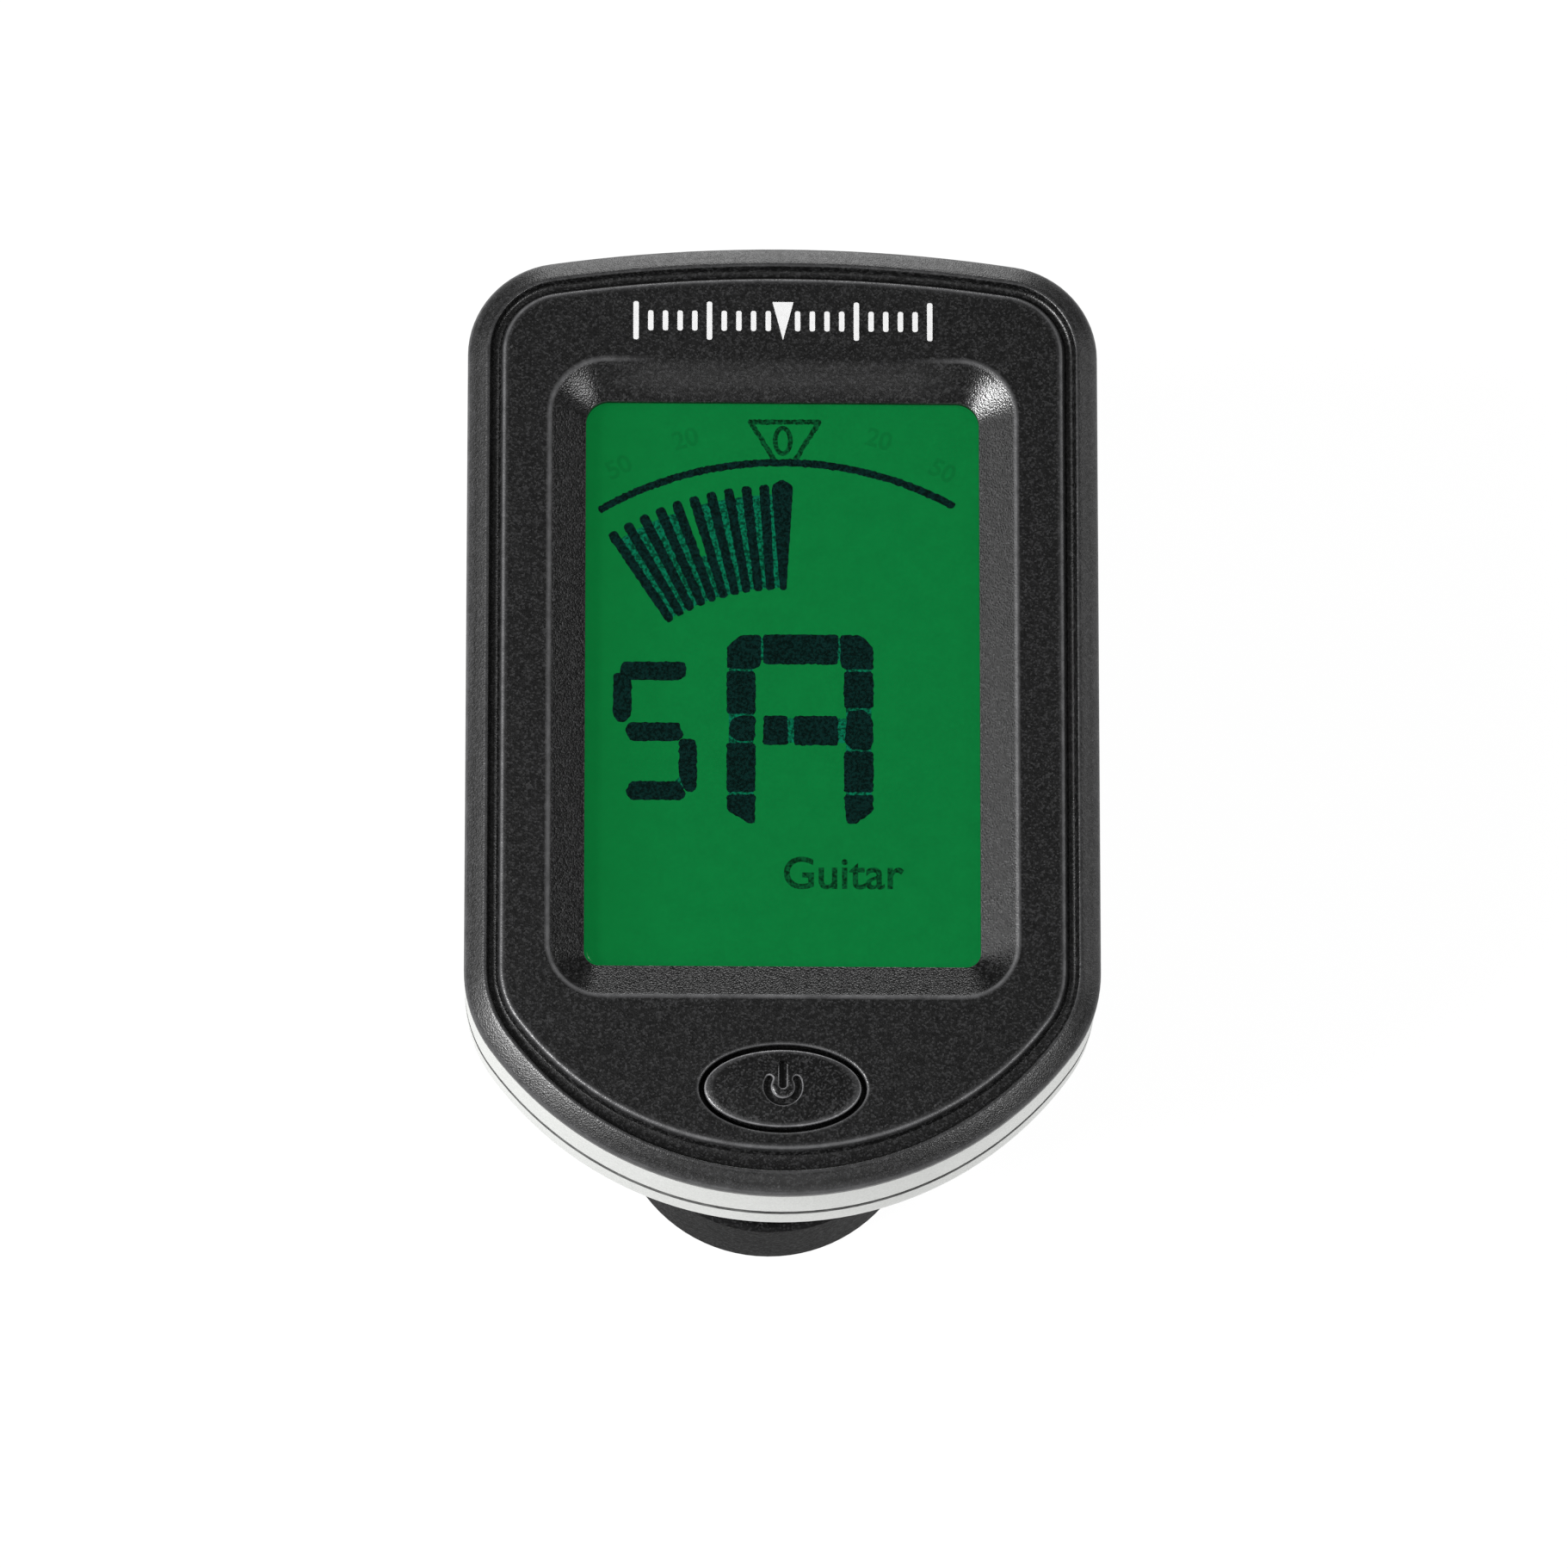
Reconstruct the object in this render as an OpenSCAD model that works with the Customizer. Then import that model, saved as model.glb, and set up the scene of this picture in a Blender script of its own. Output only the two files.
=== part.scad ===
// Clip-on instrument tuner: a tilting and swivelling display head on a sprung clamp.
// Millimetres. The clamp lies flat on z = 0, the display faces up (+Z), and the head's
// lower edge points to -Y. The origin is under the middle of the folded tuner.

/* [Head] */
// Width of the head across its straight sides
head_w = 30; // [28:0.5:34]
// Length of the head from top edge to bottom edge
head_l = 46.4; // [44:0.2:50]
// Height of the head's flat back above the surface that the clamp lies on
head_back_z = 22; // [22:0.1:24]
// Thickness of the head from its back to its face
head_t = 10.3; // [10.3:0.1:11]
// Radius of the shallow arc along the top edge
top_arc_r = 75; // [60:1:120]
// Radius of the two top corners
top_corner_r = 4.6; // [4:0.1:5.5]
// Radius of the arc along the bottom edge
bottom_arc_r = 17; // [16.5:0.1:18]
// Radius that blends the bottom arc into the straight sides
side_blend_r = 6.5; // [5.5:0.1:7]

/* [Front cover] */
// Width of the sloping band around the face
band_w = 0.9; // [0.7:0.02:1]
// Drop of the sloping band
band_h = 0.6; // [0.4:0.05:0.7]
// Thickness of the face plate
plate_t = 1.1; // [1.0:0.05:1.2]
// Distance of the decorative groove from the edge
groove_inset = 1.1; // [1.05:0.05:1.2]
// Width of the decorative groove
groove_w = 0.5; // [0.3:0.05:0.6]
// Depth of the decorative groove
groove_depth = 0.45; // [0.2:0.05:0.5]
// Depth of the sloping bezel around the display
bezel_depth = 0.8; // [0.6:0.05:0.8]

/* [Display] */
// Width of the visible display
lcd_w = 18.7; // [17:0.1:19]
// Upper edge of the visible display, from the middle of the head
lcd_top = 15.6; // [15.4:0.05:15.8]
// Lower edge of the visible display, from the middle of the head
lcd_bottom = -12.1; // [-12.2:0.05:-11.8]
// Corner radius of the visible display
lcd_corner_r = 0.9; // [0.5:0.1:1.2]
// Width of the bezel slope at the sides
bezel_side = 1.8; // [1.4:0.1:2]
// Width of the bezel slope at the top
bezel_top = 1.95; // [1.6:0.05:2]
// Width of the bezel slope at the bottom
bezel_bottom = 1.7; // [1.5:0.1:1.8]

/* [Power button] */
// Width of the oval button
button_w = 7.4; // [6:0.1:7.6]
// Height of the oval button
button_l = 3.75; // [3:0.05:3.85]
// Distance of the button's centre from the middle of the head
button_y = -18.2; // [-18.3:0.1:-17.9]
// Gap around the button
button_gap = 0.24; // [0.12:0.02:0.26]
// Rise of the button above the face
button_rise = 0.15; // [0.1:0.05:0.3]

/* [Battery] */
// Diameter of the coin cell
cell_d = 20; // [20]
// Thickness of the coin cell
cell_t = 3.2; // [3.2]
// Distance of the cell's centre from the middle of the head
cell_y = 9.2; // [8.8:0.1:9.2]
// Radius of the round battery door
door_r = 10.9; // [10.8:0.05:10.9]

/* [Clamp] */
// Width of the clamp
clip_w = 15; // [14:0.5:16]
// Position of the mouth tip along the clamp
clip_tip_y = -19; // [-19.2:0.1:-18.8]
// Radius of the rounded mouth tip seen from above
clip_tip_r = 7.5; // [7:0.1:7.5]
// Position of the clamp's pivot along its length
pivot_y = 6; // [5.5:0.1:6.5]
// Height of the clamp's pivot
pivot_z = 8.1; // [8.1:0.1:8.3]
// Radius of the pivot pin
pin_r = 1.0; // [0.9:0.05:1.1]
// Thickness of each rubber pad
pad_t = 2; // [1.5:0.1:2]
// Gap between the closed pads
pad_gap = 0.25; // [0.25:0.05:0.4]

/* [Tilt hinge and swivel] */
// Position of the tilt hinge along the clamp
tilt_y = -15.5; // [-15.6:0.1:-15.4]
// Height of the tilt hinge
tilt_z = 17; // [17:0.1:17.1]
// Position of the swivel's axis
swivel_y = -8.5; // [-8.6:0.1:-8.4]
// Radius of the swivel disc
swivel_r = 6.4; // [6:0.1:6.4]

/* [Hidden] */
$fn = 64;

// Colours
black_plastic = [0.13, 0.13, 0.14];
silver_plastic = [0.86, 0.87, 0.86];
soft_black = [0.09, 0.09, 0.09];
steel = [0.72, 0.73, 0.75];
brass = [0.80, 0.66, 0.32];
board_green = [0.05, 0.30, 0.16];
eps = 0.01;

// Heights inside the head, measured up from its back
wall_back = 1.5;
rear_top = 5.6;
frame_bottom = 5.9;
plate_bottom = head_t - plate_t;
lip_z = head_t - bezel_depth;
board_z = 5.9;
board_t = 0.7;
guide_t = 0.8;
glass_z = board_z + board_t + guide_t + 0.05;
glass_t = 1.2;
window_z = glass_z + glass_t + 0.05;
cell_z = 1.75;

// Walls of the head, measured in from the outline
wall_side = 1.8;
frame_wall = 1.6;
lip_outer = 1.85;
lip_inner = 2.6;
ledge_inner = 3.4;
board_inset = 2.75;
back_round_w = 3;
back_round_h = 4.6;

// Housing screws
screw_spots = [[10.5, 17.8], [-10.5, 17.8], [9.9, -13.7], [-9.9, -13.7]];
screw_r = 0.8;
screw_head_r = 1.4;
screw_head_t = 0.9;
column_r = 1.7;
column_split = 4.3;

// Swivel hub
hub_r = 3.95;
hub_clearance = 0.05;
disc_bottom = -2.35;
disc_gap = 0.1;
washer_r = 5;
washer_t = 0.5;
washer_z = wall_back + 0.06;
swivel_shank_r = 1.1;

// Tilt hinge
knuckle_r = 2.4;
knuckle_w = 7.2;
ear_r = 2.5;
ear_in = 4;
ear_out = 6.4;
hinge_screw_r = 0.8;
hinge_head_r = 1.5;
hinge_nut_r = 1.83;
recess_depth = 1.2;

// Clamp sections
base_t = 3.5;
handle_t = 2.2;
jaw_top = pivot_z - pad_gap / 2 - pad_t + 0.025;
pad_top = jaw_top + pad_t;
upper_pad_z = pad_top + pad_gap;
upper_face = upper_pad_z + pad_t;
upper_plate = pivot_z + 3.5;
upper_top = 14.2;
handle_end_y = head_l / 2;
handle_rise = 6.2;
lug_r = 3.2;
lower_lug_in = 5.2;
upper_lug_in = 2.9;
upper_lug_out = 5;
pad_back_y = -9;
peg_spots = [-15.5, -11.5];
pin_length = clip_w - 0.2;

// Torsion spring
wire_r = 0.4;
coil_r = 2.3;
coil_turns = 5;
coil_half = 2.1;
leg_y = 10;

// --- Outlines ---------------------------------------------------------------------

// n + 1 points along an arc
function arc(c, r, a0, a1, n) =
    [for (i = [0:n]) c + r * [cos(a0 + (a1 - a0) * i / n), sin(a0 + (a1 - a0) * i / n)]];

// The head seen from above, moved in by d all round
bottom_c = [0, bottom_arc_r - head_l / 2];
top_c = [0, head_l / 2 - top_arc_r];
blend_x = head_w / 2 - side_blend_r;
blend_c = [blend_x, bottom_c.y - sqrt(pow(bottom_arc_r - side_blend_r, 2) - pow(blend_x, 2))];
corner_x = head_w / 2 - top_corner_r;
corner_c = [corner_x, top_c.y + sqrt(pow(top_arc_r - top_corner_r, 2) - pow(corner_x, 2))];
blend_a = atan2(blend_c.y - bottom_c.y, blend_c.x);
corner_a = atan2(corner_c.y - top_c.y, corner_c.x);
function mirrored(p) = [-p.x, p.y];
function outline(d) = concat(
    arc(bottom_c, bottom_arc_r - d, 180 - blend_a, 360 + blend_a, 20),
    arc(blend_c, side_blend_r - d, blend_a + 8, 0, 4),
    arc(corner_c, top_corner_r - d, 0, corner_a - 8, 8),
    arc(top_c, top_arc_r - d, corner_a, 180 - corner_a, 8),
    arc(mirrored(corner_c), top_corner_r - d, 188 - corner_a, 180, 8),
    arc(mirrored(blend_c), side_blend_r - d, 180, 172 - blend_a, 4));

// A rectangle with rounded corners
function rounded(x0, x1, y0, y1, r) = concat(
    arc([x1 - r, y0 + r], r, -90, 0, 6), arc([x1 - r, y1 - r], r, 0, 90, 6),
    arc([x0 + r, y1 - r], r, 90, 180, 6), arc([x0 + r, y0 + r], r, 180, 270, 6));

// An ellipse
function oval(a, b) = [for (i = [0:47]) [a * cos(i * 7.5), b * sin(i * 7.5)]];

// A slab of the head's outline between two heights above its back
module slab(z0, z1, d) translate([0, 0, head_back_z + z0])
    linear_extrude(z1 - z0) polygon(outline(d));

// A ring that follows the head's outline
module ring(z0, z1, d0, d1) difference() {
    slab(z0, z1, d0);
    slab(z0 - 1, z1 + 1, d1);
}

// A box given by its corners, with heights above the head's back
module head_box(x0, x1, y0, y1, z0, z1) translate([x0, y0, head_back_z + z0])
    cube([x1 - x0, y1 - y0, z1 - z0]);

// An upright cylinder in the head
module head_cyl(x, y, z0, z1, r) translate([x, y, head_back_z + z0]) cylinder(h = z1 - z0, r = r);

// A flat plate in the head with rounded corners
module head_plate(x, y0, y1, z0, z1, r) translate([0, 0, head_back_z + z0])
    linear_extrude(z1 - z0) polygon(rounded(-x, x, y0, y1, r));

// A cylinder along X
module x_cyl(x0, x1, y, z, r) translate([x0, y, z]) rotate([0, 90, 0]) cylinder(h = x1 - x0, r = r);

// A side profile of y and z points, extruded across the clamp
module across(x0, x1, points) translate([x0, 0, 0]) rotate([90, 0, 90])
    linear_extrude(x1 - x0) polygon(points);

// --- Head housing -----------------------------------------------------------------

module front_cover() color(black_plastic) difference() {
    union() {
        slab(plate_bottom, head_t - band_h, 0);
        hull() {
            slab(head_t - band_h - eps, head_t - band_h, 0);
            slab(head_t - eps, head_t, band_w);
        }
        ring(7.6, plate_bottom, 1.7, 2.5);
    }
    ring(head_t - groove_depth, head_t + 1, groove_inset, groove_inset + groove_w);
    hull() {
        head_plate(lcd_w / 2 + bezel_side, lcd_bottom - bezel_bottom, lcd_top + bezel_top,
                   head_t, head_t + eps, 2.7);
        head_plate(lcd_w / 2, lcd_bottom, lcd_top, lip_z, lip_z + eps, lcd_corner_r);
    }
    head_plate(lcd_w / 2, lcd_bottom, lcd_top, plate_bottom - 1, head_t, lcd_corner_r);
    translate([0, button_y, head_back_z + plate_bottom - 1]) linear_extrude(plate_t + 2)
        polygon(oval(button_w / 2 + button_gap, button_l / 2 + button_gap));
}

module display_window() color([0.75, 0.85, 0.80, 0.5]) {
    head_plate(10.2, lcd_bottom - 0.9, lcd_top + 0.9, window_z, plate_bottom - 0.02, 0.6);
    head_plate(lcd_w / 2 - 0.06, lcd_bottom + 0.06, lcd_top - 0.06, plate_bottom - 0.1,
               lip_z - 0.05, lcd_corner_r);
}

module mid_frame() color(silver_plastic) difference() {
    union() {
        ring(frame_bottom, plate_bottom - 0.02, 0.05, frame_wall);
        ring(4.4, 7.5, lip_outer, lip_inner);
        ring(frame_bottom, 7.5, frame_wall - 0.1, lip_outer + 0.1);
        ring(5.2, board_z - 0.02, lip_inner - 0.1, ledge_inner);
        for (p = screw_spots) intersection() {
            head_cyl(p.x, p.y, column_split + 0.05, board_z - 0.02, 2.1);
            slab(column_split, board_z, lip_outer);
        }
    }
    for (p = screw_spots) head_cyl(p.x, p.y, column_split - 1, board_z - 0.5, screw_r + 0.02);
}

module rear_cover() color(silver_plastic) difference() {
    union() {
        difference() {
            hull() {
                slab(back_round_h, rear_top, 0.05);
                slab(back_round_h * 0.45, back_round_h * 0.5, back_round_w * 0.15);
                slab(back_round_h * 0.14, back_round_h * 0.16, back_round_w * 0.49);
                slab(0, eps, back_round_w);
            }
            slab(wall_back, rear_top + 1, wall_side);
        }
        for (p = screw_spots) intersection() {
            head_cyl(p.x, p.y, wall_back - 0.2, column_split, column_r);
            slab(wall_back - 0.2, column_split, 1.5);
        }
    }
    head_cyl(0, swivel_y, -1, wall_back + 1, hub_r + hub_clearance);
    head_cyl(0, cell_y, -1, wall_back + 1, door_r + 0.06);
    for (p = screw_spots) {
        head_cyl(p.x, p.y, -1, column_split + 1, screw_r + 0.05);
        head_cyl(p.x, p.y, -1, screw_head_t + 0.1, screw_head_r + 0.05);
    }
    // Notches that let the door's lugs in
    for (a = [60, 180, 300]) translate([0, cell_y, 0]) rotate(a)
        translate([door_r - 1, -1.6, head_back_z - 1]) cube([1.6, 3.2, wall_back + 2]);
}

module battery_door() color(silver_plastic) difference() {
    union() {
        head_cyl(0, cell_y, 0.03, wall_back, door_r);
        difference() {
            head_cyl(0, cell_y, wall_back - 0.1, 2, door_r - 0.1);
            head_cyl(0, cell_y, wall_back, 3, cell_d / 2 + 0.2);
        }
        for (a = [15, 135, 255]) translate([0, cell_y, 0]) rotate(a)
            translate([door_r - 0.6, -1.4, head_back_z + wall_back + 0.06]) cube([1.0, 2.8, 0.4]);
    }
    // Coin slot
    head_box(-6, 6, cell_y - 0.9, cell_y + 0.9, -1, 0.8);
    // Arc of the locked mark
    head_cyl(0, cell_y + 8.6, -1, 0.25, 0.6);
}

module housing_screws() color(steel) for (p = screw_spots) difference() {
    union() {
        head_cyl(p.x, p.y, 0.1, screw_head_t + 0.1, screw_head_r);
        head_cyl(p.x, p.y, screw_head_t, board_z - 0.6, screw_r);
    }
    head_box(p.x - 1, p.x + 1, p.y - 0.15, p.y + 0.15, -1, 0.55);
    head_box(p.x - 0.15, p.x + 0.15, p.y - 1, p.y + 1, -1, 0.55);
}

// --- Display and electronics ------------------------------------------------------

module lcd_panel() color([0.04, 0.46, 0.22]) {
    head_plate(10.2, -13.4, 17, glass_z, glass_z + 0.6, 0.2);
    head_plate(10.2, -12.6, 17, glass_z + 0.6 - eps, glass_z + glass_t, 0.2);
}

module backlight_guide() color([0.92, 0.95, 0.92])
    head_plate(10, -12.1, 16.6, board_z + board_t + 0.02, glass_z - 0.03, 0.3);

module backlight_leds() color([0.95, 0.93, 0.75]) for (x = [-5, 5])
    head_box(x - 1.4, x + 1.4, 16.8, 17.8, board_z + board_t, board_z + board_t + 0.6);

module zebra_connector() color([0.85, 0.55, 0.60])
    head_box(-9, 9, -13.2, -12.2, board_z + board_t, glass_z);

module circuit_board() color(board_green) slab(board_z, board_z + board_t, board_inset);

module controller_chip() color(soft_black) {
    head_box(-3.5, 3.5, -12.5, -5.5, board_z - 1.2, board_z - 0.2);
    for (i = [-6:6]) head_box(i * 0.5 - 0.1, i * 0.5 + 0.1, -13.3, -4.7, board_z - 0.5, board_z);
}

module smd_parts() color([0.35, 0.28, 0.22]) {
    for (i = [0:4]) head_box(-10.4, -8.8, -9.5 + i * 1.6, -8.7 + i * 1.6, board_z - 0.6, board_z);
    for (i = [0:2]) head_box(-6.8, -6, -12 + i * 2.2, -10.4 + i * 2.2, board_z - 0.6, board_z);
    for (s = [-1, 1]) head_box(s * 7 - 0.8, s * 7 + 0.8, -17, -16.2, board_z + board_t,
                               board_z + board_t + 0.6);
}

module crystal() color(steel) translate([0, -17, head_back_z + board_z - 1.4])
    linear_extrude(1.4) polygon(rounded(-3.2, 3.2, -1.1, 1.1, 1.05));

module tact_switch() color([0.25, 0.25, 0.26]) difference() {
    head_box(-2.6, 2.6, button_y - 1.7, button_y + 1.7, board_z + board_t, 8);
    head_cyl(0, button_y, 7.3, 9, 1.05);
}

module switch_plunger() color([0.75, 0.2, 0.15]) head_cyl(0, button_y, 7.75, 8.52, 1);

module power_button() color(black_plastic) translate([0, button_y, head_back_z]) {
    translate([0, 0, 8.54]) linear_extrude(0.5)
        polygon(oval(button_w / 2 + 0.5, button_l / 2 + 0.5));
    translate([0, 0, 9]) linear_extrude(head_t - 9) polygon(oval(button_w / 2, button_l / 2));
    hull() {
        translate([0, 0, head_t - eps]) linear_extrude(eps) polygon(oval(button_w / 2, button_l / 2));
        translate([0, 0, head_t + button_rise - eps]) linear_extrude(eps)
            polygon(oval(button_w / 2 - 0.9, button_l / 2 - 0.7));
    }
}

module piezo_disc() color(brass) {
    head_cyl(8.6, -5.8, wall_back, wall_back + 0.2, 3.5);
    head_cyl(8.6, -5.8, wall_back + 0.15, wall_back + 0.4, 2.6);
}

module piezo_leads() color([0.7, 0.1, 0.1]) for (x = [5.7, 8.6])
    head_cyl(x, -5.8, x < 7 ? wall_back + 0.21 : wall_back + 0.41, board_z - 0.01, 0.25);

module battery() color(steel) {
    head_cyl(0, cell_y, cell_z, cell_z + 2.7, cell_d / 2);
    head_cyl(0, cell_y, cell_z + 2.6, cell_z + cell_t, cell_d / 2 - 1.2);
}

module battery_contact_positive() color(brass) {
    head_box(-2, 2, cell_y - 10.45, cell_y - 10.15, cell_z + 0.6, board_z - 0.01);
    head_box(-2, 2, cell_y - 12.1, cell_y - 10.15, board_z - 0.25, board_z - 0.01);
}

module battery_contact_negative() color(brass) difference() {
    union() {
        head_box(-1.5, 1.5, cell_y - 5, cell_y + 5, cell_z + cell_t + 0.02, cell_z + cell_t + 0.25);
        for (s = [-1, 1]) head_box(-1.5, 1.5, cell_y + s * 4.5 - 0.5, cell_y + s * 4.5 + 0.5,
                                   cell_z + cell_t + 0.02, board_z - 0.01);
    }
    head_cyl(0, cell_y, cell_z + cell_t - 1, board_z, 0.6);
}

// --- Swivel and tilt hinge --------------------------------------------------------

module neck() color(black_plastic) difference() {
    union() {
        head_cyl(0, swivel_y, disc_bottom, -disc_gap, swivel_r);
        head_cyl(0, swivel_y, -disc_gap - 0.5, washer_z, hub_r);
        x_cyl(-knuckle_w / 2, knuckle_w / 2, tilt_y, tilt_z, knuckle_r);
        across(-knuckle_w / 2, knuckle_w / 2,
               [[tilt_y, tilt_z - 1.6], [swivel_y - 3, tilt_z - 1], [swivel_y + 3.6, 19.2],
                [swivel_y + 3.6, 20], [tilt_y + 1.4, 20], [tilt_y, tilt_z + knuckle_r]]);
    }
    x_cyl(-knuckle_w, knuckle_w, tilt_y, tilt_z, hinge_screw_r + 0.05);
    head_cyl(0, swivel_y, -4, 4, swivel_shank_r + 0.02);
}

module swivel_washer() color(steel) difference() {
    head_cyl(0, swivel_y, washer_z, washer_z + washer_t, washer_r);
    head_cyl(0, swivel_y, washer_z - 1, washer_z + 2, swivel_shank_r + 0.1);
}

module swivel_screw() color(steel) difference() {
    union() {
        head_cyl(0, swivel_y, washer_z + washer_t, washer_z + washer_t + 1.2, 2.2);
        head_cyl(0, swivel_y, -3.4, washer_z + washer_t + 0.5, swivel_shank_r);
    }
    head_box(-1.5, 1.5, swivel_y - 0.2, swivel_y + 0.2, 2.7, 5);
    head_box(-0.2, 0.2, swivel_y - 1.5, swivel_y + 1.5, 2.7, 5);
}

module friction_washers() color(brass) for (s = [-1, 1]) difference() {
    x_cyl(s * 3.8 - 0.17, s * 3.8 + 0.17, tilt_y, tilt_z, 2.1);
    x_cyl(s * 3.8 - 1, s * 3.8 + 1, tilt_y, tilt_z, hinge_screw_r + 0.05);
}

module tilt_screw() color(steel) difference() {
    union() {
        x_cyl(ear_out - recess_depth, ear_out - 0.1, tilt_y, tilt_z, hinge_head_r);
        x_cyl(0.15 - ear_out, ear_out - 0.5, tilt_y, tilt_z, hinge_screw_r);
    }
    translate([ear_out - 0.7, tilt_y - 1.1, tilt_z - 0.15]) cube([2, 2.2, 0.3]);
    translate([ear_out - 0.7, tilt_y - 0.15, tilt_z - 1.1]) cube([2, 0.3, 2.2]);
}

// A hexagon across X
module hexagon(x0, x1, r) translate([x0, tilt_y, tilt_z]) rotate([0, 90, 0])
    cylinder(h = x1 - x0, r = r, $fn = 6);

module tilt_nut() color(steel) difference() {
    hexagon(0.1 - ear_out, recess_depth - ear_out, hinge_nut_r);
    x_cyl(-ear_out, -ear_out + 3, tilt_y, tilt_z, hinge_screw_r + 0.02);
}

// --- Clamp ------------------------------------------------------------------------

// The clamp seen from above: a round mouth tip and a rounded handle end
module clip_plan(z0, z1, margin) translate([0, 0, z0]) linear_extrude(z1 - z0) polygon(concat(
    arc([0, clip_tip_y + clip_tip_r], clip_tip_r - margin, 190, 350, 20),
    [[clip_w / 2 - margin, clip_tip_y + clip_tip_r + 1]],
    arc([clip_w / 2 - 4, handle_end_y - 4], 4 - margin, 0, 90, 8),
    arc([4 - clip_w / 2, handle_end_y - 4], 4 - margin, 90, 180, 8),
    [[margin - clip_w / 2, clip_tip_y + clip_tip_r + 1]]));

// A lug around the pivot pin, joined to a jaw
module lug(x0, x1, z_from, z_to) {
    x_cyl(x0, x1, pivot_y, pivot_z, lug_r);
    translate([x0, pivot_y - lug_r, min(z_from, z_to)])
        cube([x1 - x0, 2 * lug_r, abs(z_to - z_from)]);
}

module lower_jaw() color(black_plastic) difference() {
    union() {
        intersection() {
            across(-clip_w, clip_w, concat(
                [[clip_tip_y - 1, 0], [handle_end_y + 1, 0], [handle_end_y + 1, handle_t],
                 [pivot_y + 3, base_t]],
                arc([-6.5, base_t + 2], 2, -90, -160, 6),
                [[-9, jaw_top], [clip_tip_y - 1, jaw_top]]));
            clip_plan(-1, 10, 0);
        }
        for (s = [-1, 1]) lug(min(s * lower_lug_in, s * clip_w / 2),
                              max(s * lower_lug_in, s * clip_w / 2), 1, pivot_z);
    }
    x_cyl(-clip_w, clip_w, pivot_y, pivot_z, pin_r);
    // Sockets for the pad's pegs
    for (y = peg_spots) translate([0, y, jaw_top - 1.6]) cylinder(h = 3, r = 1.05);
    // Finger grooves in the handle's underside
    for (i = [0:4]) x_cyl(-5.5, 5.5, 12.5 + i * 2, -0.5, 0.9);
}

module upper_jaw() color(black_plastic) difference() {
    union() {
        intersection() {
            across(-clip_w, clip_w, concat(
                [[clip_tip_y - 1, upper_face], [-9, upper_face]],
                arc([-6.5, upper_plate - 1], 1, 150, 90, 4),
                [[pivot_y + 4, upper_plate], [handle_end_y + 1, upper_plate + handle_rise],
                 [handle_end_y + 1, upper_top + handle_rise], [pivot_y + 4.2, upper_top],
                 [clip_tip_y - 1, upper_top]]));
            translate([0, 0, 5]) linear_extrude(25)
                polygon(rounded(-clip_w / 2, clip_w / 2, clip_tip_y, handle_end_y, 3.6));
        }
        for (s = [-1, 1]) lug(min(s * upper_lug_in, s * upper_lug_out),
                              max(s * upper_lug_in, s * upper_lug_out), upper_plate + 1, pivot_z);
        // Ears of the tilt hinge
        for (s = [-1, 1]) {
            x0 = min(s * ear_in, s * ear_out);
            x_cyl(x0, x0 + ear_out - ear_in, tilt_y, tilt_z, ear_r);
            translate([x0, tilt_y - ear_r, upper_top - 1])
                cube([ear_out - ear_in, 2 * ear_r, tilt_z - upper_top + 1]);
        }
        // Grip ribs on the handle
        for (i = [0:4]) x_cyl(-5, 5, 13 + i * 2, upper_top + (i + 1.4) * 0.9, 0.6);
    }
    x_cyl(-clip_w, clip_w, pivot_y, pivot_z, pin_r + 0.05);
    x_cyl(-clip_w, clip_w, tilt_y, tilt_z, hinge_screw_r + 0.05);
    x_cyl(ear_out - recess_depth, ear_out + 1, tilt_y, tilt_z, hinge_head_r + 0.05);
    hexagon(-ear_out - 1, recess_depth - ear_out, hinge_nut_r + 0.05);
    for (y = peg_spots) translate([0, y, upper_face - 1]) cylinder(h = 2.6, r = 1.05);
}

// A rubber pad with ribs on its working face; way is 1 for ribs facing up
module pad(z0, way) difference() {
    union() {
        intersection() {
            clip_plan(z0, z0 + pad_t, 1);
            translate([-clip_w, clip_tip_y, 0]) cube([2 * clip_w, pad_back_y - clip_tip_y, 20]);
        }
        for (y = peg_spots) translate([0, y, way > 0 ? z0 - 1.5 : z0 + pad_t - 0.1])
            cylinder(h = 1.6, r = 1);
    }
    for (i = [0:4]) translate([-clip_w, pad_back_y - 2 - i * 2, way > 0 ? z0 + pad_t - 0.4 : z0 - 1])
        cube([2 * clip_w, 0.8, 1.4]);
}

module lower_pad() color(soft_black) pad(jaw_top, 1);

module upper_pad() color(soft_black) pad(upper_pad_z, -1);

module pivot_pin() color(steel) x_cyl(-pin_length / 2, pin_length / 2, pivot_y, pivot_z, pin_r);

// The spring's path: a leg on the lower handle, the coil round the pin, a leg under the upper
// handle. Points are [x, y, z] about the pivot.
leg_low_a = -70;
leg_high_a = 65;
coil_sweep = 360 * coil_turns + leg_low_a - leg_high_a;
function coil_point(a, x) = [x, coil_r * cos(a), coil_r * sin(a)];
leg_low = [coil_half, leg_y, 3.1 - pivot_z + 0.35];
leg_high = [-coil_half, leg_y, upper_plate - pivot_z + 1.55];
function spring_path() = concat(
    [leg_low, (leg_low + coil_point(leg_low_a, coil_half)) / 2],
    [for (i = [0:80]) coil_point(leg_low_a - coil_sweep * i / 80, coil_half - 2 * coil_half * i / 80)],
    [(leg_high + coil_point(leg_low_a - coil_sweep, -coil_half)) / 2, leg_high]);

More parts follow.
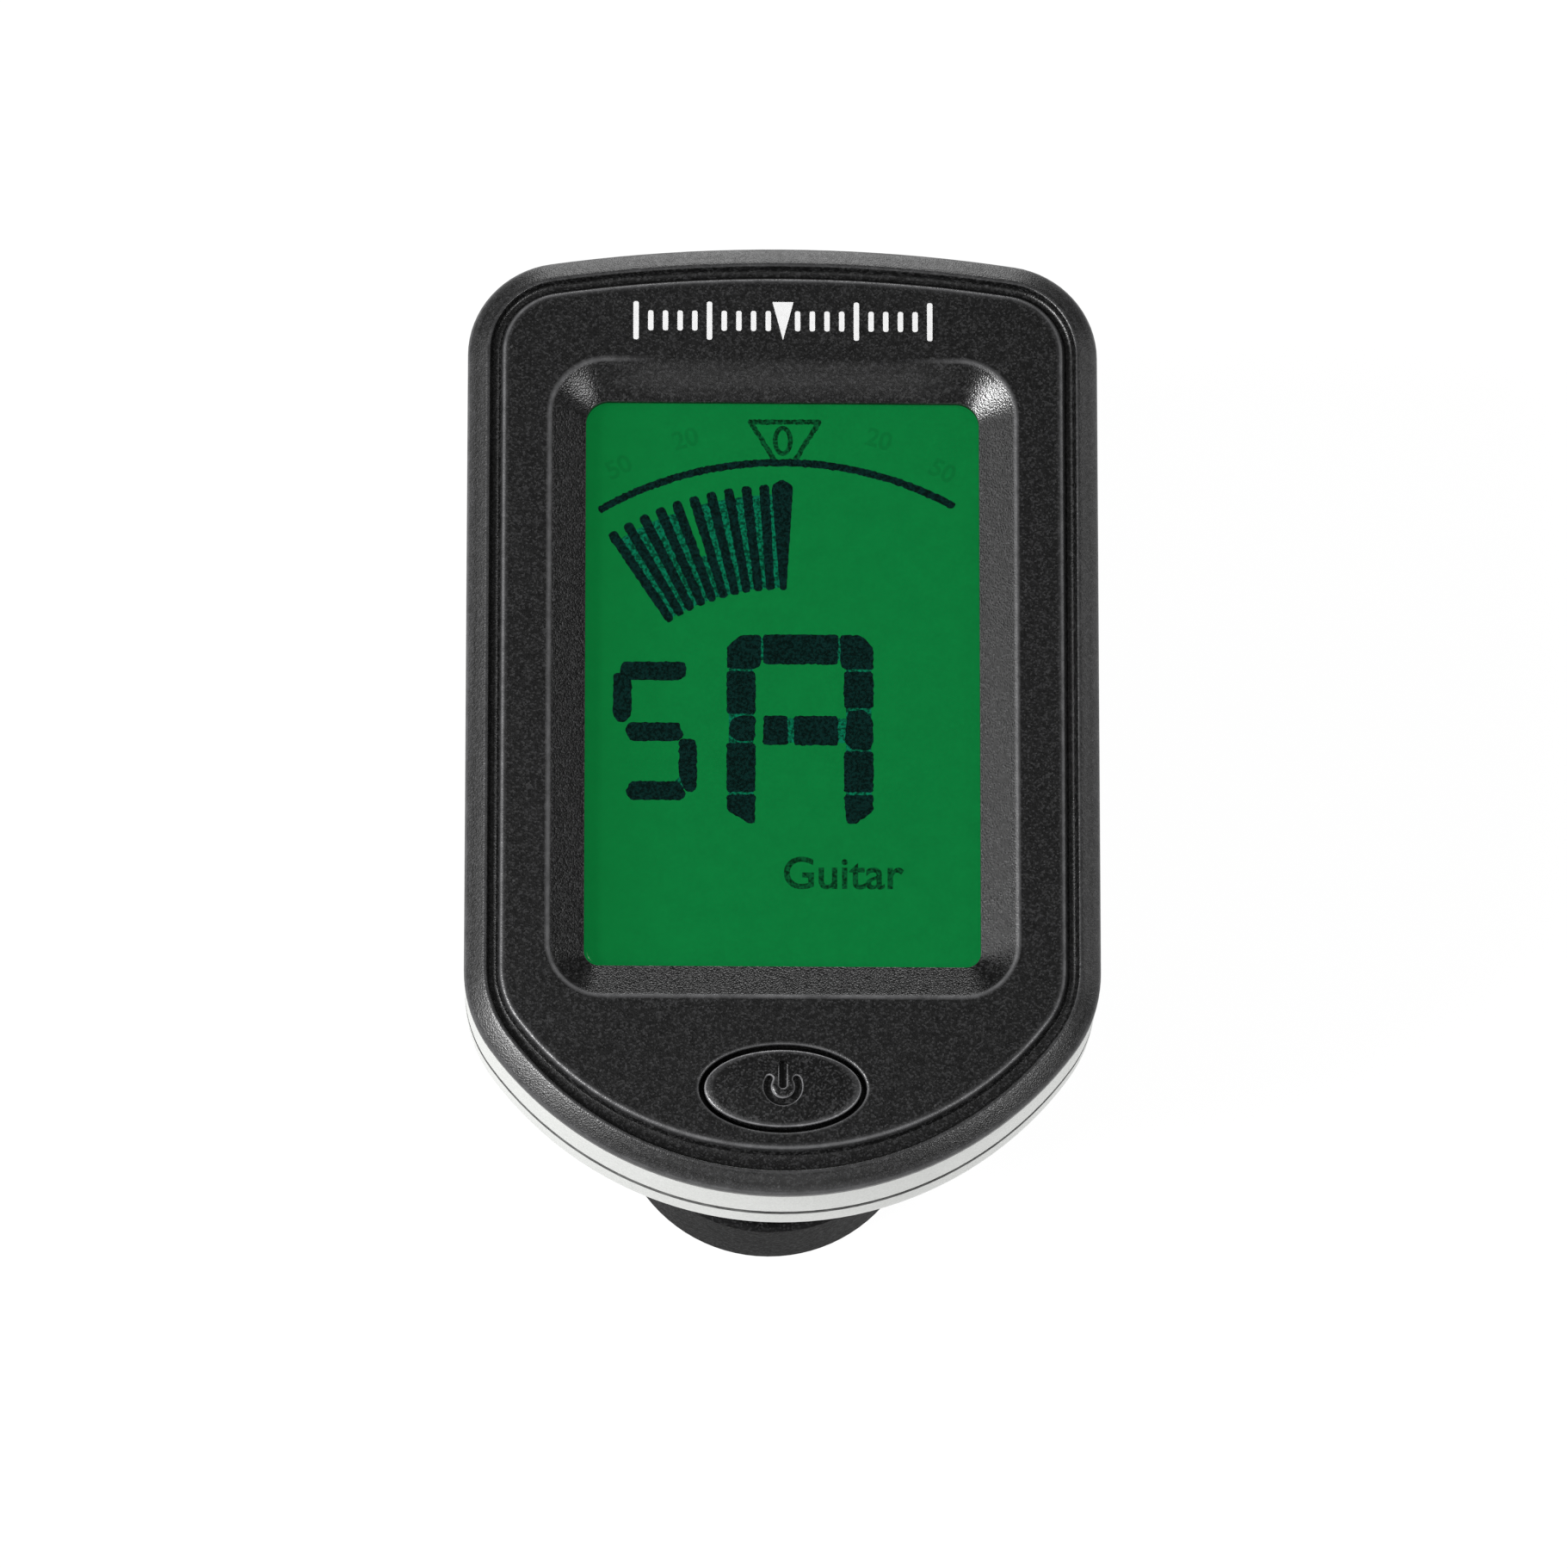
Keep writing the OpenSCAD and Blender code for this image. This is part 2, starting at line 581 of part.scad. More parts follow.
// A round tube swept along points that stay near planes across X
function unit(v) = v / norm(v);
function way_at(p, i) = unit(p[min(i + 1, len(p) - 1)] - p[max(i - 1, 0)]);
module tube(p, r, sides) {
    rings = [for (i = [0:len(p) - 1])
        let (t = way_at(p, i), n = unit(cross(t, [1, 0, 0])), b = cross(n, t))
        [for (k = [0:sides - 1]) p[i] + r * (cos(360 * k / sides) * b + sin(360 * k / sides) * n)]];
    points = [for (ring_points = rings) each ring_points];
    last = (len(p) - 1) * sides;
    polyhedron(points, concat(
        [[for (k = [0:sides - 1]) k]],
        [for (i = [0:len(p) - 2]) for (k = [0:sides - 1])
            [i * sides + k, (i + 1) * sides + k, (i + 1) * sides + (k + 1) % sides,
             i * sides + (k + 1) % sides]],
        [[for (k = [sides - 1:-1:0]) last + k]]));
}

module torsion_spring() color(steel) translate([0, pivot_y, pivot_z])
    tube(spring_path(), wire_r, 8);

// --- Drawing ----------------------------------------------------------------------

front_cover();
display_window();
lcd_panel();
backlight_guide();
backlight_leds();
zebra_connector();
power_button();
switch_plunger();
tact_switch();
circuit_board();
controller_chip();
smd_parts();
crystal();
piezo_disc();
piezo_leads();
battery();
battery_contact_positive();
battery_contact_negative();
mid_frame();
rear_cover();
battery_door();
housing_screws();
neck();
swivel_washer();
swivel_screw();
friction_washers();
tilt_screw();
tilt_nut();
upper_jaw();
upper_pad();
lower_jaw();
lower_pad();
pivot_pin();
torsion_spring();
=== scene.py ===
"""Clip-on instrument tuner: the visible meshes, materials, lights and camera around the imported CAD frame.

Meshes are built in millimetres and scaled to metres when they become objects.
"""

import math

import bmesh
import bpy
from mathutils import Matrix, Vector, noise as field
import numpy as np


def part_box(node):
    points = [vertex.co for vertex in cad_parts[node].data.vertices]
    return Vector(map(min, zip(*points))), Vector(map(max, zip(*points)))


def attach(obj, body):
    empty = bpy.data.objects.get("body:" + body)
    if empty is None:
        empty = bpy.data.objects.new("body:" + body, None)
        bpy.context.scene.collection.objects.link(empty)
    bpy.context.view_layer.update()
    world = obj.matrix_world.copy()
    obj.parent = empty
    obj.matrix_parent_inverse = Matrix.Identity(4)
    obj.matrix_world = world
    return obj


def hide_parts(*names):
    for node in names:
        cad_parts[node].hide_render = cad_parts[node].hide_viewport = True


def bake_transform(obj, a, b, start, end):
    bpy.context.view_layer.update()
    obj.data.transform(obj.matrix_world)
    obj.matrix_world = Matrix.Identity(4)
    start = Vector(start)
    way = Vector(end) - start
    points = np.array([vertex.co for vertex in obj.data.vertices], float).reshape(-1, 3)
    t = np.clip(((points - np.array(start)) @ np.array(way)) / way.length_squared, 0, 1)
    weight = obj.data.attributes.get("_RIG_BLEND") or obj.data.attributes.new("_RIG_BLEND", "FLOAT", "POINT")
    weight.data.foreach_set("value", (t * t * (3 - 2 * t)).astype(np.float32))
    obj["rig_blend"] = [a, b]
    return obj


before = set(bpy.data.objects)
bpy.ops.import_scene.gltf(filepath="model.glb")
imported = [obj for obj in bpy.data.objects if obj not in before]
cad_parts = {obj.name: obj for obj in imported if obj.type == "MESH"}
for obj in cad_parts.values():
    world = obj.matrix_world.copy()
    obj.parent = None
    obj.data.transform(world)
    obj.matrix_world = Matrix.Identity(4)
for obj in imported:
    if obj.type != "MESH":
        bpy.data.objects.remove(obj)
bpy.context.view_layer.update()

MM = 0.001
scene = bpy.context.scene


# --- Sizes, in millimetres -----------------------------------------------------------


def box_mm(node):
    """A CAD node's lowest and highest corner, in millimetres."""
    low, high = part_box(node)
    return low / MM, high / MM


cover_low, cover_high = box_mm("front_cover")
HEAD_W = cover_high.x - cover_low.x
HEAD_L = cover_high.y - cover_low.y
BACK = box_mm("rear_cover")[0].z
FACE = cover_high.z

# Outline of the head
TOP_ARC_R = 75
TOP_CORNER_R = 4.6
BOTTOM_ARC_R = 17
SIDE_BLEND_R = 6.5

# Display opening in the front cover
LCD_W = 18.7
LCD_TOP = 15.6
LCD_BOTTOM = -12.1
BEZEL_SIDE = 1.8
BEZEL_TOP = 1.95
BEZEL_BOTTOM = 1.7
BEZEL_DROP = 0.8
LIP_Z = FACE - BEZEL_DROP
PLATE_Z = FACE - 1.1
PRINT_T = 0.012

# Power button
BUTTON_Y = -18.2
BUTTON_A = 3.7
BUTTON_B = 1.875
BUTTON_GAP = 0.24
SYMBOL_FLOOR = BACK + 10.11
SYMBOL_EDGE = BACK + 10.42

# Back of the head
SWIVEL_Y = -8.5
CELL_Y = 9.2
DOOR_R = 10.9
WALL = 1.5
SCREWS = [(10.5, 17.8), (-10.5, 17.8), (9.9, -13.7), (-9.9, -13.7)]

# Clamp
CLIP_W = 15
CLIP_TIP = -19
CLIP_END = HEAD_L / 2
PIVOT = (6, 8.1)
TILT = (-15.5, 17)
JAW_TOP = 6.0
PAD_T = 2.0
UPPER_FACE = 10.25
UPPER_PLATE = 11.6
UPPER_TOP = 14.2
HANDLE_START = 10
HANDLE_RISE = 6.2


# --- Outlines ------------------------------------------------------------------------


def arc(centre, r, a0, a1, n):
    """n + 1 points along an arc, from a0 to a1 degrees."""
    points = []
    for i in range(n + 1):
        a = math.radians(a0 + (a1 - a0) * i / n)
        points.append((centre[0] + r * math.cos(a), centre[1] + r * math.sin(a)))
    return points


BOTTOM_C = (0, BOTTOM_ARC_R - HEAD_L / 2)
TOP_C = (0, HEAD_L / 2 - TOP_ARC_R)
BLEND_X = HEAD_W / 2 - SIDE_BLEND_R
BLEND_C = (BLEND_X, BOTTOM_C[1] - math.sqrt((BOTTOM_ARC_R - SIDE_BLEND_R) ** 2 - BLEND_X**2))
CORNER_X = HEAD_W / 2 - TOP_CORNER_R
CORNER_C = (CORNER_X, TOP_C[1] + math.sqrt((TOP_ARC_R - TOP_CORNER_R) ** 2 - CORNER_X**2))
BLEND_A = math.degrees(math.atan2(BLEND_C[1] - BOTTOM_C[1], BLEND_C[0]))
CORNER_A = math.degrees(math.atan2(CORNER_C[1] - TOP_C[1], CORNER_C[0]))


def head_outline(inset):
    """The head seen from above, moved in by inset all round."""
    points = arc(BOTTOM_C, BOTTOM_ARC_R - inset, 180 - BLEND_A, 360 + BLEND_A, 44)
    points += arc(BLEND_C, SIDE_BLEND_R - inset, BLEND_A, 0, 10)[1:]
    side = (CORNER_C[1] - BLEND_C[1]) / 12
    points += [(HEAD_W / 2 - inset, BLEND_C[1] + side * i) for i in range(1, 12)]
    points += arc(CORNER_C, TOP_CORNER_R - inset, 0, CORNER_A, 16)
    points += arc(TOP_C, TOP_ARC_R - inset, CORNER_A, 180 - CORNER_A, 20)[1:]
    points += arc((-CORNER_C[0], CORNER_C[1]), TOP_CORNER_R - inset, 180 - CORNER_A, 180, 16)[1:]
    points += [(inset - HEAD_W / 2, CORNER_C[1] - side * i) for i in range(1, 12)]
    points += arc((-BLEND_C[0], BLEND_C[1]), SIDE_BLEND_R - inset, 180, 180 - BLEND_A, 10)[:-1]
    return points


def clamp(value):
    """A value limited to between 0 and 1."""
    return min(1.0, max(0.0, value))


def rounded(x0, x1, y0, y1, r_low, r_high, n=8):
    """A rectangle with rounded corners; the lower and upper corners have their own radius."""
    points = arc((x1 - r_low, y0 + r_low), r_low, -90, 0, n)
    points += arc((x1 - r_high, y1 - r_high), r_high, 0, 90, n)
    points += arc((x0 + r_high, y1 - r_high), r_high, 90, 180, n)
    points += arc((x0 + r_low, y0 + r_low), r_low, 180, 270, n)
    return points


def oval(a, b, y, n=96):
    """An ellipse about (0, y)."""
    turn = 2 * math.pi / n
    return [(a * math.cos(i * turn), y + b * math.sin(i * turn)) for i in range(n)]


def circle(x, y, r, n=48):
    """A circle about (x, y)."""
    return [(px + x, py) for px, py in oval(r, r, y, n)]


# --- Mesh building -------------------------------------------------------------------


def new_mesh():
    """An empty mesh with a layer of edge and seam marks, painted as highlight over some rubbed wear on black
    plastic and as shade on silver, and a layer of polished walls.
    """
    bm = bmesh.new()
    bm.verts.layers.float.new("wear_sheen_and_shade")
    bm.verts.layers.float.new("polish")
    return bm


def add_ring(bm, points, wear_sheen_and_shade=0.0):
    """Vertices at the points."""
    layer = bm.verts.layers.float["wear_sheen_and_shade"]
    ring = []
    for point in points:
        vert = bm.verts.new(point)
        vert[layer] = wear_sheen_and_shade
        ring.append(vert)
    return ring


def flat_ring(bm, points, z, wear_sheen_and_shade=0.0):
    """A ring of vertices from flat points lifted to a height."""
    return add_ring(bm, [(x, y, z) for x, y in points], wear_sheen_and_shade)


def bridge(bm, a, b):
    """Faces between two closed rings."""
    for i in range(len(a)):
        bm.faces.new((a[i - 1], a[i], b[i], b[i - 1]))


def loft(bm, rings, closed=False):
    """Faces between each ring and the next one."""
    for a, b in zip(rings, rings[1:]):
        bridge(bm, a, b)
    if closed:
        bridge(bm, rings[-1], rings[0])


def fill(bm, *rings):
    """Fills the flat area inside the first ring and outside the others."""
    edges = []
    for ring in rings:
        for i in range(len(ring)):
            pair = (ring[i - 1], ring[i])
            edges.append(bm.edges.get(pair) or bm.edges.new(pair))
    bmesh.ops.triangle_fill(bm, use_beauty=True, use_dissolve=False, edges=edges)


def capped(bm, rings):
    """Faces between the rings, and both ends filled: a closed solid."""
    loft(bm, rings)
    fill(bm, rings[0])
    fill(bm, rings[-1])


def make_object(bm, name, sharp=38, weighted=True):
    """Turns a mesh in millimetres into a smooth object in metres."""
    bmesh.ops.recalc_face_normals(bm, faces=bm.faces)
    bmesh.ops.scale(bm, vec=(MM, MM, MM), verts=bm.verts)
    mesh = bpy.data.meshes.new(name)
    bm.to_mesh(mesh)
    bm.free()
    obj = bpy.data.objects.new(name, mesh)
    scene.collection.objects.link(obj)
    shade(obj, sharp, weighted)
    return obj


def shade(obj, sharp=38, weighted=True):
    """Smooth shading with sharp edges kept, and flat areas that stay flat."""
    obj.data.shade_smooth()
    obj.data.set_sharp_from_angle(angle=math.radians(sharp))
    if weighted:
        modifier = obj.modifiers.new("flat_areas", "WEIGHTED_NORMAL")
        modifier.keep_sharp = True
        modifier.weight = 80


def cut(obj, tool, operation="DIFFERENCE"):
    """Applies a boolean with a tool object, then deletes the tool."""
    obj.modifiers.clear()
    modifier = obj.modifiers.new("cut", "BOOLEAN")
    modifier.solver = "EXACT"
    modifier.operation = operation
    modifier.object = tool
    depsgraph = bpy.context.evaluated_depsgraph_get()
    result = bpy.data.meshes.new_from_object(obj.evaluated_get(depsgraph))
    obj.modifiers.clear()
    obj.data = result
    bpy.data.objects.remove(tool)
    shade(obj)


def place(obj, body, slot, material, *replaced):
    """Gives a piece its material, the body it rides on and the CAD nodes it stands for; the slot argument is
    not used.
    """
    obj.data.materials.clear()
    obj.data.materials.append(material)
    if replaced:
        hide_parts(*replaced)
    if body:
        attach(obj, body)


# --- Materials -----------------------------------------------------------------------

# The two ends of a mask
NONE, FULL = (0, 0, 0), (1, 1, 1)


def scaled(colour, factor):
    """A colour made lighter or darker."""
    return tuple(min(1.0, c * factor) for c in colour)


class Surface:
    """A Principled material in the making; its patterns are laid out in the object's own space."""

    def __init__(self, name, colour, roughness, metallic=0.0, specular=0.5, base=1.0):
        self.colour = colour
        self.material = bpy.data.materials.new(name)
        self.material.use_nodes = True
        self.nodes = self.material.node_tree.nodes
        self.links = self.material.node_tree.links
        self.shader = self.nodes["Principled BSDF"]
        self.feed({"Base Color": (*scaled(colour, base), 1), "Roughness": roughness, "Metallic": metallic,
                   "Specular IOR Level": specular})
        self.coords = self.add("TexCoord")["Object"]
        self.normal = None

    def feed(self, inputs, node=None):
        """Sets inputs of the shader or of another node, each to a constant or to a node's output."""
        for name, value in inputs.items():
            socket = (node or self.shader).inputs[name]
            if isinstance(value, bpy.types.NodeSocket):
                self.links.new(value, socket)
            else:
                socket.default_value = value

    def add(self, kind, inputs=None, **settings):
        """Adds a node and returns its outputs."""
        node = self.nodes.new("ShaderNode" + kind)
        for name, value in settings.items():
            setattr(node, name, value)
        self.feed(inputs or {}, node)
        return node.outputs

    def noise(self, size_mm, detail=3.0, rough=0.55):
        """A noise pattern whose features are about size_mm across."""
        return self.add("TexNoise", {"Scale": 1 / (size_mm * MM), "Detail": detail, "Roughness": rough,
                                     "Vector": self.coords})["Fac"]

    def specks(self, size_mm):
        """A random value for each small cell of the surface, and the distance from its middle."""
        cells = self.add("TexVoronoi", {"Scale": 1 / (size_mm * MM), "Vector": self.coords})
        return self.add("SeparateColor", {"Color": cells["Color"]})["Red"], cells["Distance"]

    def ramp(self, value, *stops):
        """A ramp between two (position, colour) stops."""
        node = self.nodes.new("ShaderNodeValToRGB")
        for element, (position, colour) in zip(node.color_ramp.elements, stops):
            element.position = position
            element.color = (*colour, 1)
        self.links.new(value, node.inputs["Fac"])
        return node.outputs["Color"]

    def shades(self, value, start, end, low, high):
        """The material's colour, going from a darker to a lighter shade with a pattern."""
        return self.ramp(value, (start, scaled(self.colour, low)), (end, scaled(self.colour, high)))

    def remap(self, value, low, high, start=0.3, end=0.7):
        """Maps a pattern onto a range."""
        return self.add("MapRange", {"From Min": start, "From Max": end, "To Min": low, "To Max": high,
                                     "Value": value})["Result"]

    def mix(self, factor, a, b):
        """Mixes two colours by a pattern."""
        a, b = ((*c, 1) if isinstance(c, tuple) else c for c in (a, b))
        return self.add("Mix", {"Factor": factor, "A": a, "B": b}, data_type="RGBA")["Result"]

    def layer(self, name):
        """A value stored in the mesh."""
        return self.add("Attribute", attribute_name=name)["Fac"]

    def marked(self, low=0.45):
        """The mesh's edge and seam marks, broken up by a patchy noise; black plastic paints them as
        highlight, silver as shade.
        """
        patchy = self.remap(self.noise(0.7, 4), low, 1.0)
        return self.add("Math", {0: self.layer("wear_sheen_and_shade"), 1: patchy}, operation="MULTIPLY")["Value"]

    def bump(self, height, depth_mm, strength):
        """Bump from a pattern, on top of an earlier bump."""
        inputs = {"Distance": depth_mm * MM, "Strength": strength, "Height": height}
        if self.normal:
            inputs["Normal"] = self.normal
        self.normal = self.add("Bump", inputs)["Normal"]
        self.feed({"Normal": self.normal})


def moulded_plastic(name, colour, roughness, grain_mm, grain_depth_mm, rub_and_sheen, specular=0.5, dusty=10):
    """Textured moulded plastic: spark-eroded grain, cloudy tone, sparkle, dust, and marked edges made light
    by rubbed wear and a painted highlight.
    """
    mat = Surface(name, colour, roughness, specular=specular)
    tone = mat.shades(mat.noise(6), 0.35, 0.65, 0.84, 1.16)
    cells, domes = mat.specks(grain_mm)
    pits = mat.ramp(cells, (0.05, FULL), (0.4, NONE))
    glints = mat.ramp(cells, (0.60, NONE), (0.96, FULL))
    dust = mat.ramp(mat.noise(0.32, 1.0), (0.75, NONE), (0.78, FULL))
    # Painted highlight: the marked edges take the colour scaled up many times, which also stands for some
    # rubbed wear.
    for where, factor in ((pits, 0.2), (glints, 6.5), (dust, dusty), (mat.marked(), rub_and_sheen)):
        tone = mat.mix(where, tone, scaled(colour, factor))
    uneven = mat.remap(mat.noise(grain_mm * 3), roughness - 0.05, roughness + 0.05)
    rough = mat.add("Math", {0: mat.layer("polish"), 1: -0.14, 2: uneven}, operation="MULTIPLY_ADD")
    mat.feed({"Base Color": tone, "Roughness": rough["Value"]})
    mat.bump(mat.noise(grain_mm * 5, 2), grain_depth_mm, 0.2)
    mat.bump(domes, grain_depth_mm, 0.8)
    return mat.material


def plain_plastic(name, colour, roughness, grain_mm):
    """Smooth moulded plastic or ceramic: slightly cloudy, with a fine grain."""
    mat = Surface(name, colour, roughness)
    cloud = mat.noise(0.9)
    mat.feed({"Base Color": mat.shades(cloud, 0.35, 0.65, 0.88, 1.1),
              "Roughness": mat.remap(cloud, roughness - 0.05, roughness + 0.06)})
    mat.bump(mat.noise(grain_mm), 0.004, 0.5)
    return mat.material


def painted_silver(name, colour):
    """Satin silver paint: fine metal flake under a soft coat, slightly uneven, with painted shade in its
    seams, bores and slot.
    """
    mat = Surface(name, colour, 0.42, 0.35)
    flake = mat.noise(0.09, 2)
    tone = mat.shades(flake, 0.35, 0.7, 0.90, 1.08)
    tone = mat.mix(mat.remap(mat.specks(0.1)[0], 0.0, 0.5, 0.3, 1.0), tone, scaled(colour, 0.82))
    # Painted shade: the marked seams, bores and slot walls turn almost black.
    tone = mat.mix(mat.marked(0.85), tone, (0.02, 0.02, 0.02))
    mat.feed({"Base Color": tone, "Roughness": mat.remap(mat.noise(3, 4), 0.36, 0.5),
              "Coat Weight": 0.15, "Coat Roughness": 0.25})
    mat.bump(flake, 0.004, 0.5)
    return mat.material


def metal(name, colour, roughness, streak_mm=0.25):
    """Plated or turned metal with fine streaks and dull patches."""
    mat = Surface(name, colour, roughness, 1.0)
    patches = mat.noise(1.2, 4)
    mat.feed({"Base Color": mat.shades(patches, 0.3, 0.7, 0.82, 1.1),
              "Roughness": mat.remap(patches, roughness - 0.07, roughness + 0.12)})
    mat.bump(mat.noise(streak_mm), 0.004, 0.5)
    return mat.material


def soft_rubber(name, colour):
    """Matt silicone rubber with dust in its grain."""
    mat = Surface(name, colour, 0.75, specular=0.3)
    dust = mat.noise(0.8, 5)
    mat.feed({"Base Color": mat.shades(dust, 0.45, 0.8, 1.0, 2.0),
              "Roughness": mat.remap(dust, 0.68, 0.85), "Sheen Weight": 0.1})
    mat.bump(mat.noise(0.15, 2), 0.01, 0.6)
    return mat.material


def display_green(name, colour):
    """Backlit display glass: even green light, faintly mottled by the diffuser behind it."""
    mat = Surface(name, colour, 0.4, specular=0.0, base=0.1)
    fine = mat.noise(0.16, 2)
    tone = mat.shades(mat.noise(1.1), 0.3, 0.7, 0.95, 1.05)
    tone = mat.mix(mat.remap(fine, 0.0, 0.14, 0.4, 0.7), tone, scaled(colour, 1.7))
    across = mat.add("SeparateXYZ", {"Vector": mat.coords})["X"]
    edge_fade = mat.remap(across, 0.5, 0.0, -9.5 * MM, -5 * MM)
    tone = mat.mix(edge_fade, tone, (colour[0] * 0.6, colour[1] * 0.76, colour[2] * 0.62))
    mat.feed({"Emission Color": tone, "Emission Strength": 0.78})
    mat.bump(fine, 0.003, 0.3)
    return mat.material


def segment_ink(name, colour, glow):
    """A darkened liquid crystal segment: almost black teal, slightly uneven."""
    mat = Surface(name, colour, 0.45, specular=0.0, base=0.1)
    blotch = mat.noise(0.13, 2)
    mat.feed({"Emission Color": mat.shades(blotch, 0.4, 0.62, 0.4, 2.4), "Emission Strength": glow})
    mat.bump(blotch, 0.004, 0.4)
    return mat.material


def clear_sheet(name):
    """A clear hard-coated sheet: see-through, with a faint gloss."""
    mat = Surface(name, (0.01, 0.02, 0.015), 0.18)
    mat.feed({"Alpha": 0.05, "Roughness": mat.remap(mat.noise(4, 4), 0.12, 0.26)})
    mat.bump(mat.noise(2.5, 2), 0.004, 0.3)
    return mat.material


def print_ink(name, colour):
    """Pad-printed ink with a slightly broken mat."""
    mat = Surface(name, colour, 0.55)
    grain = mat.noise(0.2)
    mat.feed({"Base Color": mat.shades(grain, 0.3, 0.6, 0.93, 1.0)})
    mat.bump(grain, 0.004, 0.5)
    return mat.material


def solder_mask(name, colour):
    """A printed circuit board: green mask with the raised lines of copper tracks under it."""
    mat = Surface(name, colour, 0.3)
    tracks = mat.add("TexBrick", {
        "Scale": 1 / (2.4 * MM), "Mortar Size": 0.06, "Color1": (*scaled(colour, 0.8), 1),
        "Color2": (*colour, 1), "Mortar": (*scaled(colour, 1.9), 1), "Vector": mat.coords})
    mat.feed({"Base Color": tracks["Color"], "Roughness": mat.remap(mat.noise(2), 0.25, 0.4)})
    mat.bump(tracks["Fac"], 0.02, 0.5)
    return mat.material


BLACK = (0.0034, 0.0034, 0.0035)
SILVER = (0.645, 0.655, 0.635)
LCD_GREEN = (0.0029, 0.206, 0.043)
SEGMENT = (0.0018, 0.016, 0.014)

mat_black = moulded_plastic("black_shell", BLACK, 0.34, 0.08, 0.010, rub_and_sheen=29.0)
mat_button = moulded_plastic("button_plastic", scaled(BLACK, 1.3), 0.28, 0.08, 0.008, rub_and_sheen=55.0)
mat_clamp = moulded_plastic("clamp_nylon", scaled(BLACK, 1.1), 0.5, 0.10, 0.008, rub_and_sheen=5.0, specular=0.02,
                            dusty=4)
mat_silver = painted_silver("silver_paint", SILVER)
mat_rubber = soft_rubber("pad_rubber", (0.012, 0.012, 0.0125))
mat_screw = metal("screw_steel", (0.62, 0.62, 0.64), 0.32)
mat_pin = metal("pin_steel", (0.66, 0.66, 0.68), 0.25)
mat_spring = metal("spring_steel", (0.6, 0.59, 0.57), 0.28, 0.4)
mat_brass = metal("plain_brass", (0.78, 0.57, 0.25), 0.33)
mat_lcd = display_green("display_green", LCD_GREEN)
mat_segment = segment_ink("display_segment", SEGMENT, 0.5)
mat_bleed = segment_ink("display_bleed", (0.0008, 0.085, 0.040), 0.85)
mat_unlit = display_green("display_unlit", scaled(LCD_GREEN, 0.86))
mat_label = segment_ink("display_label", (0.0010, 0.044, 0.012), 0.85)
mat_window = clear_sheet("clear_sheet")
mat_ink = print_ink("white_ink", (0.62, 0.62, 0.62))


# --- Head housing --------------------------------------------------------------------


def outline_rings(bm, profile):
    """Rings of the head's outline; profile holds (inset, height above the back, weight of the edge and seam
    marks that black plastic paints as highlight and silver as shade).

    A fourth value moves the ring further in towards the lower edge."""
    rings = []
    for inset, height, wear_sheen_and_shade, *extra in profile:
        points = head_outline(inset)
        if extra:
            further = []
            for near, far in zip(points, head_outline(inset + 1)):
                inward = (far[0] - near[0], far[1] - near[1])
                share = extra[0] * max(0.0, inward[1]) ** 3
                further.append((near[0] + share * inward[0], near[1] + share * inward[1]))
            points = further
        rings.append(flat_ring(bm, points, BACK + height, wear_sheen_and_shade))
    return rings


def bezel_ring(bm, slope, wear_sheen_and_shade=0.0):
    """A ring of the display opening; slope runs from 0 at the face to 1 at the lip.

    The sides and the lower edge break crisply from the face; the upper edge rolls in softly."""
    spread = 1 - slope
    side, top = LCD_W / 2 + BEZEL_SIDE * spread, LCD_TOP + BEZEL_TOP * spread
    points = rounded(-side, side, LCD_BOTTOM - BEZEL_BOTTOM * spread, top, 0.7 + 2.0 * spread,
                     1.1 + 1.7 * spread, 12)
    after = next(i for i in range(len(points)) if min(points[i][1], points[i - 1][1]) > top - 0.0001)
    start, end = points[after - 1][0], points[after][0]
    points[after:after] = [(start + (end - start) * i / 14, top) for i in range(1, 14)]
    crisp = max(0.0, slope - 0.02) / 0.98
    ease = slope * slope * (3 - 2 * slope)
    layer = bm.verts.layers.float["wear_sheen_and_shade"]
    polish = bm.verts.layers.float["polish"]
    ring = []
    for x, y in points:
        soft = clamp((y - LCD_TOP + 1.6) / 2.4) * (0.2 + 0.8 * clamp((LCD_W / 2 - 0.6 - abs(x)) / 2.4))
        drop = (1 - soft) * crisp + soft * ease
        vert = bm.verts.new((x, y, FACE - BEZEL_DROP * drop))
        # Painted highlight: a thin light line along the crisp edges, fading out where the top edge rolls in
        # softly.
        vert[layer] = wear_sheen_and_shade * (1 - soft)
        vert[polish] = 1 - soft if slope > 0.08 else 0
        ring.append(vert)
    return ring


